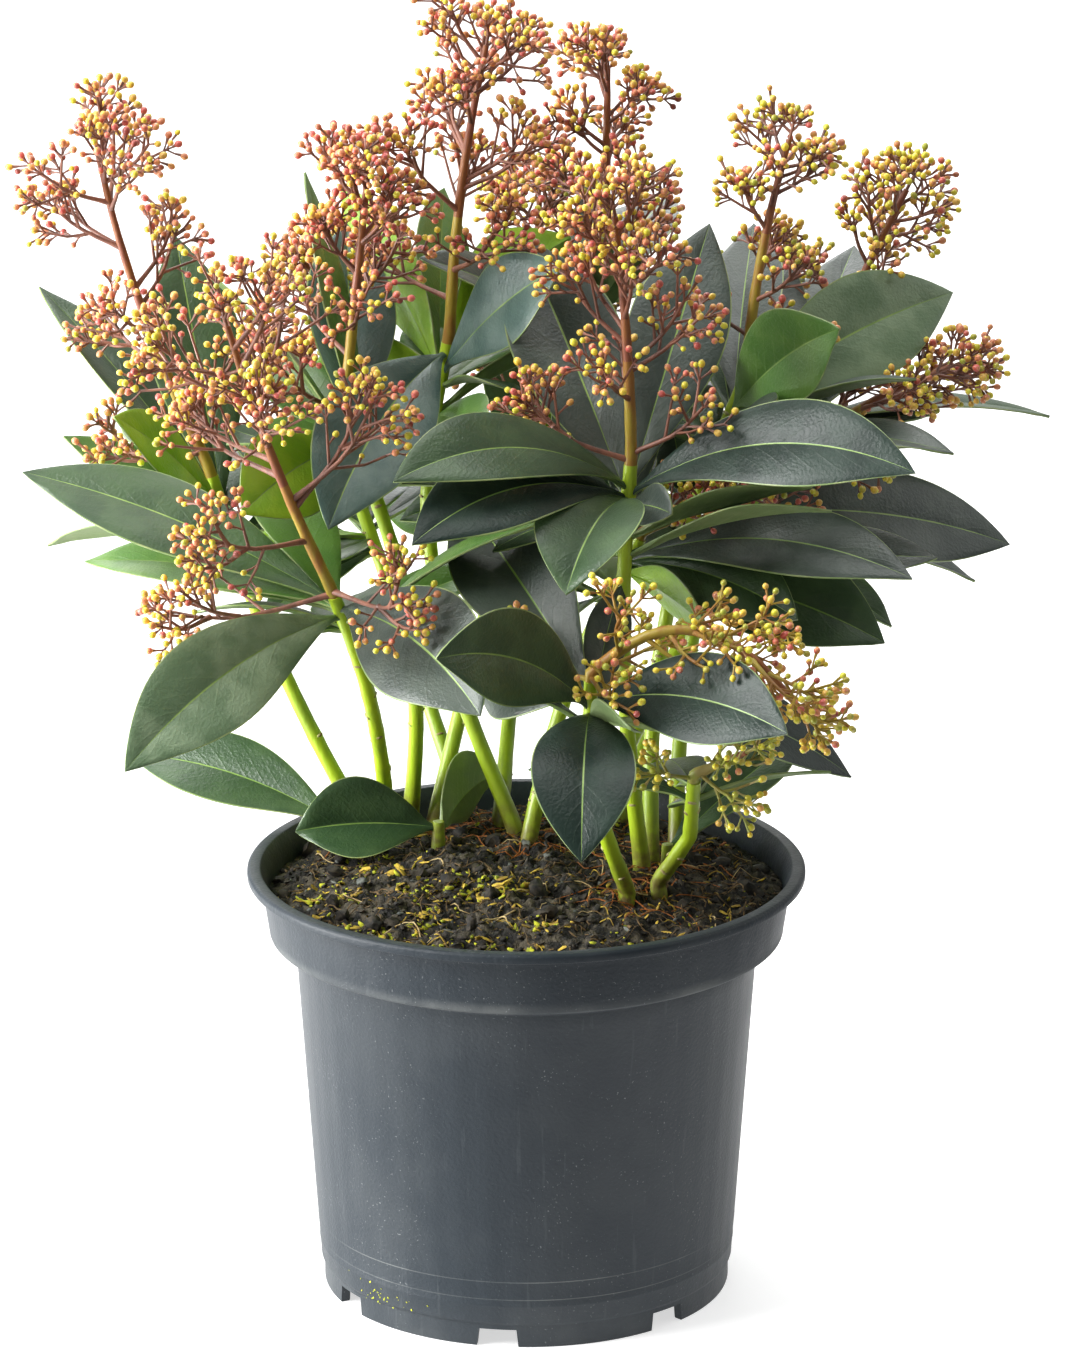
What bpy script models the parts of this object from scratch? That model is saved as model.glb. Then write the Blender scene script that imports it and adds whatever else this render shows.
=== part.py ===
"""Potted skimmia: a nursery pot of peat, a clump of green stems, whorls of long leaves and panicles of buds.

Sizes are in millimetres, turned into metres by MM where a mesh is made.  X runs right, Y away from the
front, Z up, and the origin is the middle of the pot's underside.
"""
import math
import random
from dataclasses import dataclass

import bmesh
import bpy
from mathutils import Matrix, Vector
from mathutils.bvhtree import BVHTree

MM = 0.001
GAP = 0.3            # clearance between pieces that touch
UP = Vector((0.0, 0.0, 1.0))
GOLDEN_TURN = 137.5  # degrees from one branch or leaf to the next round its stem

# ---- pot ------------------------------------------------------------------------------------------------
POT_SIDES = 32
POT_HEIGHT = 133.0
WALL = 1.7
FOOT_RADIUS = 62.4       # outer radius of the standing ring
BODY_BASE_RADIUS = 63.4  # where the wall meets the feet
FOOT_HEIGHT = 8.0
BODY_TOP_RADIUS = 70.8
BODY_TOP = 109.5
COLLAR_BASE_RADIUS = 78.3
COLLAR_BASE = 112.6
COLLAR_TOP_RADIUS = 80.6
COLLAR_TOP = 128.5
LIP_RADIUS = 85.0
LIP_BASE = 130.2
FLOOR = 6.4              # underside of the drainage channel
PAD_RADIUS = 40.0        # middle disc that stands on the ground with the foot ring
CHANNEL_INNER = 42.6
CHANNEL_OUTER = 59.4
FEET = 7                 # notches cut through the foot ring
FIRST_NOTCH = 262.0      # degrees round +Z
NOTCH_WIDTH = 13.5
NOTCH_HEIGHT = 5.6
NOTCH_DEPTH = 14.0       # length of a notch's cutter, across the foot ring
DRAIN_HOLES = 7
DRAIN_RADIUS = 4.2
DRAIN_CIRCLE = 51.0

# ---- peat -----------------------------------------------------------------------------------------------
SOIL_EDGE = 125.5        # height where the peat meets the wall
SOIL_MOUND = 7.0         # how much higher the middle is
SOIL_SIDES = 16

# ---- shoots ---------------------------------------------------------------------------------------------
STEM_ROOT_RADIUS = 3.5
STEM_TIP_RADIUS = 2.9
ROOT_FLARE = 0.5         # how much wider a stem is where it leaves the peat
STEM_STEPS = 4
STEM_START = 3.0         # length of the upright piece at a stem's foot
STEM_END = 2.5           # length of the straight piece that meets the whorl
WHORL_LENGTH = 19.0      # stretch of shoot that carries the leaves
WHORL_TOP_RADIUS = 2.3
LEAF_STEP = 1.3          # each leaf of a whorl sits this much lower than the last
LEAF_CLEAR = 3.4         # a steep leaf starts low enough to pass the panicle's axis by this much
LEAF_SINK = 0.9          # a leaf starts this far from the shoot's middle line
LEAF_THICKNESS = 1.5
LEAF_STALK = 1.7         # half width of a leaf where it leaves the shoot
LEAF_STATIONS = (0.0, 0.29, 0.58, 0.83)
LEAF_FOLD = 0.16         # height of the margins over the midrib, as a share of the half width
BLADE_START = 0.28       # below this share of its length a leaf may meet its neighbours in the whorl
AXIS_TIP_RADIUS = 0.8
AXIS_STEPS = 4
BRANCH_RADIUS = 1.0
TWIG_RADIUS = 0.6
TWIG_LENGTH = 9.0
BUD_RADIUS = 3.8       # each bud here stands for a few real ones
BUD_LENGTH = 7.6
TWIGS_PER_BRANCH = 1
NUDGES = ((0, 0), (0, 6), (6, 0), (-6, 0), (0, -6), (8, 8), (-8, 8), (12, 0), (-12, 0), (0, 12), (0, -12))


@dataclass(frozen=True)
class Leaf:
    """Degrees round the shoot, degrees above level, sizes in mm, droop and roll in degrees."""
    turn: float
    rise: float
    length: float
    width: float
    droop: float = 20.0
    roll: float = 0.0


@dataclass(frozen=True)
class Bloom:
    """A panicle: its top, the sideways bow of its axis, its reach and where its lowest branch stands."""
    tip: tuple
    reach: float
    branches: int
    first: float = 0.2
    turn: float = 0.0
    bow: tuple = (0.0, 0.0, 0.0)
    droop: float = 0.0


@dataclass(frozen=True)
class Shoot:
    """A stem from its foot in the peat to its crown, with a whorl of leaves and a panicle."""
    name: str
    foot: tuple
    crown: tuple
    bow: tuple
    bloom: Bloom
    leaves: tuple
    spare: int = 0


SHOOTS = (
    Shoot("far_left", (-51, 43), (-96, 45, 242), (-3, 0, 0),
          Bloom((-129, 38, 346), 33, 8, 0.24, 200, (-4, 0, 2)),
          (Leaf(143, 45, 92, 26, 15), Leaf(113, 65, 88, 30, 10, 10), Leaf(222, 50, 60, 22, 20, 60)), 3),
    Shoot("left_front", (-43, 40), (-57, -25, 225), (3, 0, 0),
          Bloom((-87, -42, 312), 45, 10, 0.06, 180, (-2, 0, 0), 10),
          (Leaf(152, 27, 106, 27, 20, 35), Leaf(304, 12, 78, 37, 45, -48), Leaf(150, 14, 88, 24, 25, 25),
           Leaf(230, 2, 98, 31, 35, 50), Leaf(142, 14, 80, 24, 30, 20)), 1),
    Shoot("left_middle", (-36, 47), (-54, 20, 265), (8, -2, 0),
          Bloom((-47, 12, 346), 29, 9, 0.22, 230),
          (Leaf(94, 46, 80, 30, 10, -20), Leaf(236, 5, 56, 30, 30, 50), Leaf(84, 0, 64, 25, 25, 10),
           Leaf(134, 42, 80, 24, 15, -40), Leaf(118, 64, 92, 22, 15, -45)), 1),
    Shoot("top_left", (-4, 32), (-24, 45, 284), (-12, 3, 0),
          Bloom((-12, 45, 377), 33, 9, 0.3, 160, (-2, 0, 0)),
          (Leaf(245, -2, 88, 35, 45, 32), Leaf(308, 48, 70, 27, 20, -80), Leaf(60, 33, 82, 31, 30, 120),
           Leaf(120, 42, 76, 23, 10, -115), Leaf(150, -4, 50, 26, 40, -86), Leaf(92, 50, 80, 26, 8, -48)), 0),
    Shoot("top_back", (-28, 48), (23, 85, 294), (-4, 0, 0),
          Bloom((25, 92, 360), 22, 8, 0.35, 20),
          (Leaf(249, 17, 80, 28, 45, 40), Leaf(83, 43, 55, 24, 10, 60), Leaf(20, 15, 70, 26, 25)), 2),
    Shoot("front", (35, -2), (31, -15, 262), (-3, -4, 0),
          Bloom((26, -22, 340), 32, 10, 0.12, 190, (1, 0, 0)),
          (Leaf(65, 50, 91, 31, 5, -25), Leaf(216, 40, 88, 27, 60, 35), Leaf(331, 39, 100, 29, 55, -50),
           Leaf(119, 38, 92, 35, 8, 20), Leaf(219, 28, 86, 29, 55, 30), Leaf(251, 16, 60, 32, 60, 4),
           Leaf(303, 17, 24, 14, 20, -60)), 1),
    Shoot("right_top", (38, 10), (65, 25, 276), (-8, 0, 0),
          Bloom((79, 36, 350), 23, 8, 0.1, 250, (-2, 0, 0)),
          (Leaf(85, 37, 76, 26, 10, 14), Leaf(306, 48, 62, 29, 25, -100), Leaf(34, 29, 90, 34, 25, -62),
           Leaf(75, 36, 78, 28, 12, -20)), 2),
    Shoot("right_back", (20, 40), (86, 75, 257), (0, 4, 0),
          Bloom((117, 82, 324), 22, 7, 0.45, 20, (-1, 0, 0)),
          (Leaf(75, 35, 80, 28, 10, 10), Leaf(24, 10, 92, 20, 30, 0)), 3),
    Shoot("far_right", (46, 19), (63, 45, 234), (-4, 6, 0),
          Bloom((131, 56, 275), 27, 9, 0.2, 300, (0, 0, 4), 10),
          (Leaf(24, 0, 102, 31, 25, -48),), 3),
    Shoot("low_front", (30, -27), (19, -60, 209), (-3, -3, 0),
          Bloom((82, -72, 202), 28, 11, 0.04, 150, (0, -2, 20), 16),
          (Leaf(121, 34, 88, 35, 15, 38), Leaf(233, 44, 80, 29, 40, 90), Leaf(319, 25, 76, 29, 40, -52),
           Leaf(127, 9, 58, 29, 40, 50), Leaf(29, -2, 96, 27, 40, -37), Leaf(266, 13, 68, 31, 75, 6)), 0),
    Shoot("middle", (1, 19), (34, 18, 230), (-4, 2, 0),
          Bloom((58, 8, 246), 22, 6, 0.1, 60),
          (Leaf(328, 27, 98, 27, 45, -40), Leaf(138, 26, 74, 24, 15, -96), Leaf(322, 10, 66, 25, 30, -40),
           Leaf(138, -4, 66, 26, 30, -94), Leaf(345, 4, 84, 34, 30, -50), Leaf(310, 0, 44, 18, 20, 77)), 1),
    Shoot("low_right", (40, -20), (50, -38, 171), (2, 0, 0),
          Bloom((65, -46, 183), 18, 6, 0.1, 200),
          (Leaf(100, 5, 38, 17, 20),), 0),
    Shoot("back_left", (-20, 58), (-52, 98, 218), (0, 6, 0),
          Bloom((-66, 112, 296), 26, 8, 0.25, 100),
          (Leaf(150, 28, 88, 28, 25), Leaf(70, 20, 90, 30, 30), Leaf(110, 5, 84, 27, 40),
           Leaf(28, 30, 74, 25, 25), Leaf(190, 10, 66, 24, 30)), 1),
    Shoot("back_middle", (-8, 44), (2, 104, 234), (0, 8, 0),
          Bloom((4, 122, 312), 27, 8, 0.25, 60),
          (Leaf(100, -10, 80, 28, 30), Leaf(55, 8, 84, 27, 35), Leaf(170, 30, 70, 25, 25),
           Leaf(95, 62, 78, 27, 20), Leaf(20, 26, 72, 25, 25)), 1),
    Shoot("back_right", (30, 52), (62, 108, 211), (0, 6, 0),
          Bloom((76, 124, 286), 26, 8, 0.25, 80),
          (Leaf(40, 26, 90, 29, 25), Leaf(85, 16, 92, 30, 30), Leaf(0, 8, 84, 27, 35),
           Leaf(125, 12, 76, 26, 30), Leaf(330, 2, 66, 24, 35)), 1),
)

# Short shoots that carry a few old leaves just over the peat: name, foot and leaves.
LOW_SHOOTS = (
    ("foot_left", (-57, 34), (Leaf(153, 25, 76, 27, 30, 38),)),
    ("foot_front", (-27, 22), (Leaf(188, 12, 44, 26, 22, 60), Leaf(60, 42, 34, 24, 50, 90))),
    ("foot_right", (43, 2), (Leaf(44, 30, 64, 22, 20, -10),)),
)
LOW_SHOOT_HEIGHT = 7.0
LOW_SHOOT_RADIUS = 2.2


# ---- geometry -------------------------------------------------------------------------------------------
def heading(turn, rise):
    """Unit vector at so many degrees round +Z and above level."""
    turn, rise = math.radians(turn), math.radians(rise)
    return Vector((math.cos(rise) * math.cos(turn), math.cos(rise) * math.sin(turn), math.sin(rise)))


def across(direction):
    """Two unit vectors square to a direction and to each other."""
    side = direction.orthogonal().normalized()
    return side, direction.cross(side).normalized()


def arc_points(start, end, bow, steps):
    """Points of a curve from start to end whose middle is pushed aside by bow."""
    start, end = Vector(start), Vector(end)
    control = (start + end) / 2 + 2 * Vector(bow)
    points = []
    for step in range(steps + 1):
        t = step / steps
        points.append(start * (1 - t) ** 2 + control * 2 * t * (1 - t) + end * t ** 2)
    return points


def soil_height(x, y):
    """Height of the mound of peat at a place in the pot."""
    share = (x * x + y * y) / inner_radius(SOIL_EDGE) ** 2
    return SOIL_EDGE + SOIL_MOUND * (1 - share)


def inner_radius(height):
    """Inner radius of the collar at a height."""
    share = (height - COLLAR_BASE) / (COLLAR_TOP - COLLAR_BASE)
    return COLLAR_BASE_RADIUS - WALL + share * (COLLAR_TOP_RADIUS - COLLAR_BASE_RADIUS)


class Body:
    """A closed loft through rings of points; a last ring of one point closes it to a tip."""

    def __init__(self, rings):
        self.verts = [point for ring in rings for point in ring]
        self.faces = [tuple(reversed(range(len(rings[0]))))]
        base = 0
        for ring, following in zip(rings, rings[1:]):
            count = len(ring)
            for i in range(count):
                j = (i + 1) % count
                if len(following) == 1:
                    self.faces.append((base + i, base + j, base + count))
                else:
                    self.faces.append((base + i, base + j, base + count + j, base + count + i))
            base += count
        if len(rings[-1]) > 1:
            self.faces.append(tuple(range(base, base + len(rings[-1]))))

    def tree(self):
        """Search tree of the body's faces."""
        return BVHTree.FromPolygons(self.verts, self.faces)


def ring(centre, direction, radius, sides):
    """Points of a regular ring square to a direction."""
    side, other = across(direction)
    turns = (2 * math.pi * i / sides for i in range(sides))
    return [centre + radius * (math.cos(a) * side + math.sin(a) * other) for a in turns]


def leaf_body(root, leaf, grow=0.0, start=0.0):
    """Loft of a leaf: diamond sections along a line that droops, widest past the middle."""
    rings = []
    pieces = 24
    point = Vector(root)
    stations = [s for s in LEAF_STATIONS if s >= start]
    for piece in range(pieces + 1):
        share = piece / pieces
        along = heading(leaf.turn, leaf.rise - leaf.droop * share)
        if stations and share >= stations[0] - 1e-6:
            stations.pop(0)
            rings.append(leaf_ring(point, along, leaf, share, grow))
        if piece < pieces:
            middle = heading(leaf.turn, leaf.rise - leaf.droop * (share + 0.5 / pieces))
            point = point + middle * (leaf.length / pieces)
    rings.append([point])
    return Body(rings)


def leaf_ring(point, along, leaf, share, grow):
    """Diamond section of a leaf: right margin, upper face, left margin, lower face."""
    turn, roll = math.radians(leaf.turn), math.radians(leaf.roll)
    level = Vector((-math.sin(turn), math.cos(turn), 0.0))
    normal = along.cross(level).normalized()
    side = math.cos(roll) * level - math.sin(roll) * normal
    face = math.cos(roll) * normal + math.sin(roll) * level
    half = max(LEAF_STALK, leaf.width / 2 * math.sin(math.pi * share ** 1.35) ** 0.8)
    thick = LEAF_THICKNESS / 2 * (1 - 0.4 * share) + grow
    lift = LEAF_FOLD * half * face
    out = (half + grow) * side
    return [point - out + lift, point + thick * face, point + out + lift, point - thick * face]


def stretch(points, radii, sides=6, grow=0.0):
    """Loft of a limb through points, for telling what it would touch."""
    rings = []
    for i, point in enumerate(points):
        along = (points[min(i + 1, len(points) - 1)] - points[max(i - 1, 0)]).normalized()
        rings.append(ring(point, along, radii[i] + grow, sides))
    return Body(rings)


def bud_body(start, bend, end, radius, grow=0.0):
    """Three-sided twig from start by way of bend to a bud whose middle is at end."""
    along = (end - bend).normalized()
    rings = [
        ring(start, (bend - start).normalized(), radius + grow, 3),
        ring(end, along, BUD_RADIUS + grow, 3),
        [end + along * (BUD_LENGTH * 0.55 + grow)],
    ]
    if radius > TWIG_RADIUS:
        rings.insert(1, ring(bend, (end - start).normalized(), radius * 0.9 + grow, 3))
    return Body(rings)


# ---- growth ---------------------------------------------------------------------------------------------
class Plot:
    """The bodies placed so far, each with the node that owns it."""

    def __init__(self):
        self.placed = []

    def add(self, owner, body):
        """Remember a body that stands."""
        self.placed.append((owner, body.tree(), *extent(body)))

    def is_clear(self, owner, body):
        """Tell whether a body touches nothing that another node owns."""
        low, high = extent(body)
        tree = None
        for other, standing, other_low, other_high in self.placed:
            if other == owner or any(low[k] > other_high[k] or high[k] < other_low[k] for k in range(3)):
                continue
            tree = tree or body.tree()
            if tree.overlap(standing):
                return False
        return True


def extent(body):
    """Lowest and highest corner of a body."""
    return [[pick(v[k] for v in body.verts) for k in range(3)] for pick in (min, max)]


class Growth:
    """One shoot worked out: the lines of its stem, whorl and panicle, then its leaves and branches."""

    def __init__(self, shoot):
        self.shoot = shoot
        x, y = shoot.foot
        slope = 2 * SOIL_MOUND * math.hypot(x, y) / inner_radius(SOIL_EDGE) ** 2
        foot = Vector((x, y, soil_height(x, y) + GAP + slope * STEM_ROOT_RADIUS))
        crown = Vector(shoot.crown)
        control = (foot + crown) / 2 + 2 * Vector(shoot.bow)
        self.lead = (crown - control).normalized()
        neck = crown - self.lead * WHORL_LENGTH
        self.crown = crown
        rise = foot + STEM_START * UP
        top = neck - self.lead * STEM_END
        bow = (control - (rise + top) / 2) / 2
        self.stem = [foot] + arc_points(rise, top, bow, STEM_STEPS) + [neck - self.lead * GAP]
        self.whorl = [neck, neck + self.lead * WHORL_LENGTH / 2, crown]
        start = crown + self.lead * GAP
        tip = Vector(shoot.bloom.tip)
        self.axis = [start] + arc_points(start + self.lead * 3.0, tip, shoot.bloom.bow, AXIS_STEPS)
        self.leaves = []
        self.branches = []

    def stem_radii(self):
        """Radius at each point of the stem, flared a little at the foot."""
        steps = len(self.stem) - 1
        taper = (STEM_ROOT_RADIUS - STEM_TIP_RADIUS) / steps
        radii = [STEM_ROOT_RADIUS - taper * i for i in range(steps + 1)]
        radii[0] += ROOT_FLARE
        return radii

    def whorl_radii(self):
        """Radius at each point of the stretch that carries leaves."""
        return [STEM_TIP_RADIUS, (STEM_TIP_RADIUS + WHORL_TOP_RADIUS) / 2, WHORL_TOP_RADIUS]

    def axis_radii(self):
        """Radius at each point of the panicle's axis."""
        steps = len(self.axis) - 1
        taper = (WHORL_TOP_RADIUS - AXIS_TIP_RADIUS) / steps
        return [WHORL_TOP_RADIUS - taper * i for i in range(steps + 1)]

    def add_leaf(self, plot, leaf, strict):
        """Place a leaf, turned aside a little if something is in its way, and tell whether it fits."""
        owner = "leaves_" + self.shoot.name
        low = LEAF_STEP * len(self.leaves) + 2.6
        for turn, rise in NUDGES:
            tried = Leaf(leaf.turn + turn, leaf.rise + rise, leaf.length, leaf.width, leaf.droop, leaf.roll)
            way = heading(tried.turn, tried.rise)
            steep = max(0.0, way.dot(self.lead)) / (way.cross(self.lead).length + 0.1)
            outward = (way - self.lead * way.dot(self.lead)).normalized()
            drop = min(WHORL_LENGTH - 3.0, low + LEAF_CLEAR * steep)
            root = self.crown - self.lead * drop + outward * LEAF_SINK
            grown = leaf_body(root, tried, GAP + 0.1)
            blade = leaf_body(root, tried, 0.0, BLADE_START)
            if not plot.is_clear(owner, grown):
                continue
            if strict and any(blade.tree().overlap(other) for _, _, other in self.leaves):
                continue
            self.leaves.append((root, tried, blade.tree()))
            plot.add(owner, leaf_body(root, tried))
            return True
        return False

    def add_spare_leaves(self, plot):
        """Fill the whorl where there is room, mostly away from the front."""
        rng = random.Random(self.shoot.name + " spare")
        wanted = self.shoot.spare
        for _ in range(wanted * 8):
            leaf = Leaf(rng.uniform(45, 135), rng.uniform(-5, 35), rng.uniform(62, 84), rng.uniform(23, 29),
                        rng.uniform(15, 40))
            if wanted and self.add_leaf(plot, leaf, True):
                wanted -= 1

    def plan_branches(self):
        """Where each branch of the panicle starts, bends and ends, from the lowest to the top."""
        bloom = self.shoot.bloom
        rng = random.Random(self.shoot.name + " branches")
        plans = []
        for i in range(bloom.branches):
            share = i / (bloom.branches - 1)
            at, along = point_on(self.axis, bloom.first + (1 - bloom.first) * 0.93 * share)
            turn = bloom.turn + GOLDEN_TURN * i + rng.uniform(-15, 15)
            outward = heading(turn, 0)
            outward = (outward - along * outward.dot(along)).normalized()
            opening = math.radians(70 - 27 * share + rng.uniform(-8, 8))
            direction = math.cos(opening) * along + math.sin(opening) * outward
            direction.z -= math.sin(math.radians(bloom.droop)) * (1 - share)
            length = (bloom.reach - TWIG_LENGTH * 0.4) * (1.15 - 0.5 * share) * rng.uniform(0.9, 1.15)
            bend = at + direction.normalized() * length * 0.55
            end = bend + (direction + along * 0.45).normalized() * length * 0.45
            plans.append((at, bend, end))
        top, along = point_on(self.axis, 1.0)
        plans.append((top - along * 2.0, top + along * 1.0, top + along * 5.0))
        return plans

    def add_branches(self, plot):
        """Place the panicle's branches and the twigs of buds at their ends, and skip what would touch."""
        owner = "flowers_" + self.shoot.name
        rng = random.Random(self.shoot.name + " twigs")
        for at, bend, end in self.plan_branches():
            if not plot.is_clear(owner, bud_body(at, bend, end, BRANCH_RADIUS, GAP + 0.1)):
                bend, end = at + (bend - at) * 0.62, at + (end - at) * 0.62
            if not plot.is_clear(owner, bud_body(at, bend, end, BRANCH_RADIUS, GAP + 0.1)):
                continue
            self.branches.append((at, bend, end, BRANCH_RADIUS))
            along = (end - bend).normalized()
            side, other = across(along)
            first = rng.uniform(0, 360)
            for k in range(TWIGS_PER_BRANCH):
                angle = math.radians(first + 360 / TWIGS_PER_BRANCH * k + rng.uniform(-25, 25))
                aside = math.cos(angle) * side + math.sin(angle) * other
                start = bend + (end - bend) * rng.uniform(0.25, 0.6)
                way = (aside + along * rng.uniform(0.5, 1.0)).normalized()
                way *= TWIG_LENGTH * rng.uniform(0.85, 1.25)
                twig = (start, start + way * 0.5, start + way, TWIG_RADIUS)
                if plot.is_clear(owner, bud_body(*twig, GAP + 0.1)):
                    self.branches.append(twig)
        for branch in self.branches:
            plot.add(owner, bud_body(*branch))


def point_on(points, share):
    """Place and direction at a share of the way along a line of points."""
    place = share * (len(points) - 1)
    i = min(int(place), len(points) - 2)
    step = points[i + 1] - points[i]
    return points[i] + step * (place - i), step.normalized()


def grow():
    """Work out every shoot in turn, so that later pieces keep clear of earlier ones."""
    plot = Plot()
    growths = [Growth(shoot) for shoot in SHOOTS]
    for growth in growths:
        name = growth.shoot.name
        plot.add("stem_" + name, stretch(growth.stem, growth.stem_radii()))
        plot.add("leaves_" + name, stretch(growth.whorl, growth.whorl_radii()))
        plot.add("flowers_" + name, stretch(growth.axis, growth.axis_radii()))
    for growth in growths:
        for leaf in growth.shoot.leaves:
            if not growth.add_leaf(plot, leaf, True) and not growth.add_leaf(plot, leaf, False):
                print("no room for leaf", growth.shoot.name, leaf)
    low_growths = [LowGrowth(name, foot, leaves, plot) for name, foot, leaves in LOW_SHOOTS]
    for growth in growths:
        growth.add_spare_leaves(plot)
    for growth in growths:
        growth.add_branches(plot)
    return growths, low_growths


class LowGrowth:
    """A short shoot at the peat with its few leaves."""

    def __init__(self, name, foot, leaves, plot):
        self.name = name
        x, y = foot
        slope = 2 * SOIL_MOUND * math.hypot(x, y) / inner_radius(SOIL_EDGE) ** 2
        base = Vector((x, y, soil_height(x, y) + GAP + slope * LOW_SHOOT_RADIUS))
        self.twig = [base, base + LOW_SHOOT_HEIGHT * UP]
        self.leaves = []
        for leaf in leaves:
            root = base + (LOW_SHOOT_HEIGHT - 1.5 - 1.5 * len(self.leaves)) * UP + heading(leaf.turn, 0) * 0.5
            if plot.is_clear("leaves_" + name, leaf_body(root, leaf, GAP + 0.1)):
                self.leaves.append((root, leaf, None))
                plot.add("leaves_" + name, leaf_body(root, leaf))
            else:
                print("no room for leaf", name, leaf)


# ---- objects --------------------------------------------------------------------------------------------
def material(name, colour, roughness, metallic=0.0):
    """Principled material of one colour."""
    made = bpy.data.materials.new(name)
    made.use_nodes = True
    shader = made.node_tree.nodes["Principled BSDF"]
    shader.inputs["Base Color"].default_value = (*colour, 1.0)
    shader.inputs["Roughness"].default_value = roughness
    shader.inputs["Metallic"].default_value = metallic
    made.diffuse_color = (*colour, 1.0)
    return made


def put(collection, name, data, finish=None):
    """Object of some mesh or curve, linked to a collection."""
    made = bpy.data.objects.new(name, data)
    collection.objects.link(made)
    if finish:
        data.materials.append(finish)
    return made


def tube(collection, name, points, radii, roundness, finish=None):
    """Tapering limb as a curve with a bevel of 4 sides, or more with roundness, and filled ends."""
    curve = bpy.data.curves.new(name, "CURVE")
    curve.dimensions = "3D"
    curve.bevel_depth = MM
    curve.bevel_resolution = roundness
    curve.use_fill_caps = True
    spline = curve.splines.new("POLY")
    spline.points.add(len(points) - 1)
    for knot, point, radius in zip(spline.points, points, radii):
        knot.co = (*(point * MM), 1.0)
        knot.radius = radius
    return put(collection, name, curve, finish)


def as_mesh(limb):
    """Turn a tube into a mesh object with its ends welded on."""
    bpy.context.view_layer.update()
    evaluated = limb.evaluated_get(bpy.context.evaluated_depsgraph_get())
    mesh = bpy.data.meshes.new_from_object(evaluated)
    work = bmesh.new()
    work.from_mesh(mesh)
    bmesh.ops.remove_doubles(work, verts=work.verts, dist=1e-6)
    bmesh.ops.triangulate(work, faces=work.faces)
    work.to_mesh(mesh)
    work.free()
    name, collection = limb.name, limb.users_collection[0]
    matrix = limb.matrix_world.copy()
    bpy.data.objects.remove(limb)
    made = put(collection, name, mesh)
    made.matrix_world = matrix
    return made


def body_mesh(name, body):
    """Mesh of a loft, in metres, facing outwards."""
    mesh = bpy.data.meshes.new(name)
    mesh.from_pydata([v * MM for v in body.verts], [], body.faces)
    work = bmesh.new()
    work.from_mesh(mesh)
    bmesh.ops.recalc_face_normals(work, faces=work.faces)
    bmesh.ops.triangulate(work, faces=work.faces)
    work.to_mesh(mesh)
    work.free()
    return mesh


def fuse(target, bodies):
    """Join lofts to an object with one Boolean union on a collection."""
    scraps = bpy.data.collections.new(target.name + "_scraps")
    bpy.context.scene.collection.children.link(scraps)
    for index, body in enumerate(bodies):
        put(scraps, f"{target.name}_{index}", body_mesh("scrap", body))
    union = target.modifiers.new("join", "BOOLEAN")
    union.operation = "UNION"
    union.operand_type = "COLLECTION"
    union.collection = scraps
    union.solver = "MANIFOLD"
    bpy.context.view_layer.update()
    evaluated = target.evaluated_get(bpy.context.evaluated_depsgraph_get())
    joined = bpy.data.meshes.new_from_object(evaluated)
    target.modifiers.clear()
    target.data = joined
    drop_scraps(joined)
    for scrap in list(scraps.objects):
        bpy.data.objects.remove(scrap)
    bpy.data.collections.remove(scraps)


def drop_scraps(mesh):
    """Keep a mesh's largest body and delete what a union left loose or joined by a single edge."""
    work = bmesh.new()
    work.from_mesh(mesh)
    bmesh.ops.triangulate(work, faces=work.faces)
    waiting, groups = set(work.faces), []
    while waiting:
        group, front = set(), [waiting.pop()]
        while front:
            face = front.pop()
            group.add(face)
            seams = [edge for edge in face.edges if len(edge.link_faces) == 2]
            near = {other for edge in seams for other in edge.link_faces} & waiting
            waiting -= near
            front.extend(near)
        groups.append(group)
    groups.sort(key=len)
    bmesh.ops.delete(work, geom=[face for group in groups[:-1] for face in group], context="FACES")
    work.to_mesh(mesh)
    work.free()


def turned(collection, name, profile, sides, finish):
    """Profile of (radius, height) pairs in mm turned round +Z with a Screw modifier."""
    mesh = bpy.data.meshes.new(name)
    verts = [(radius * MM, 0.0, height * MM) for radius, height in profile]
    mesh.from_pydata(verts, [(i, i + 1) for i in range(len(verts) - 1)], [])
    made = put(collection, name, mesh, finish)
    screw = made.modifiers.new("turn", "SCREW")
    screw.axis = "Z"
    screw.angle = 2 * math.pi
    screw.steps = sides
    screw.render_steps = sides
    screw.use_merge_vertices = True
    screw.merge_threshold = 1e-5
    screw.use_smooth_shade = False
    return made


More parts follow.
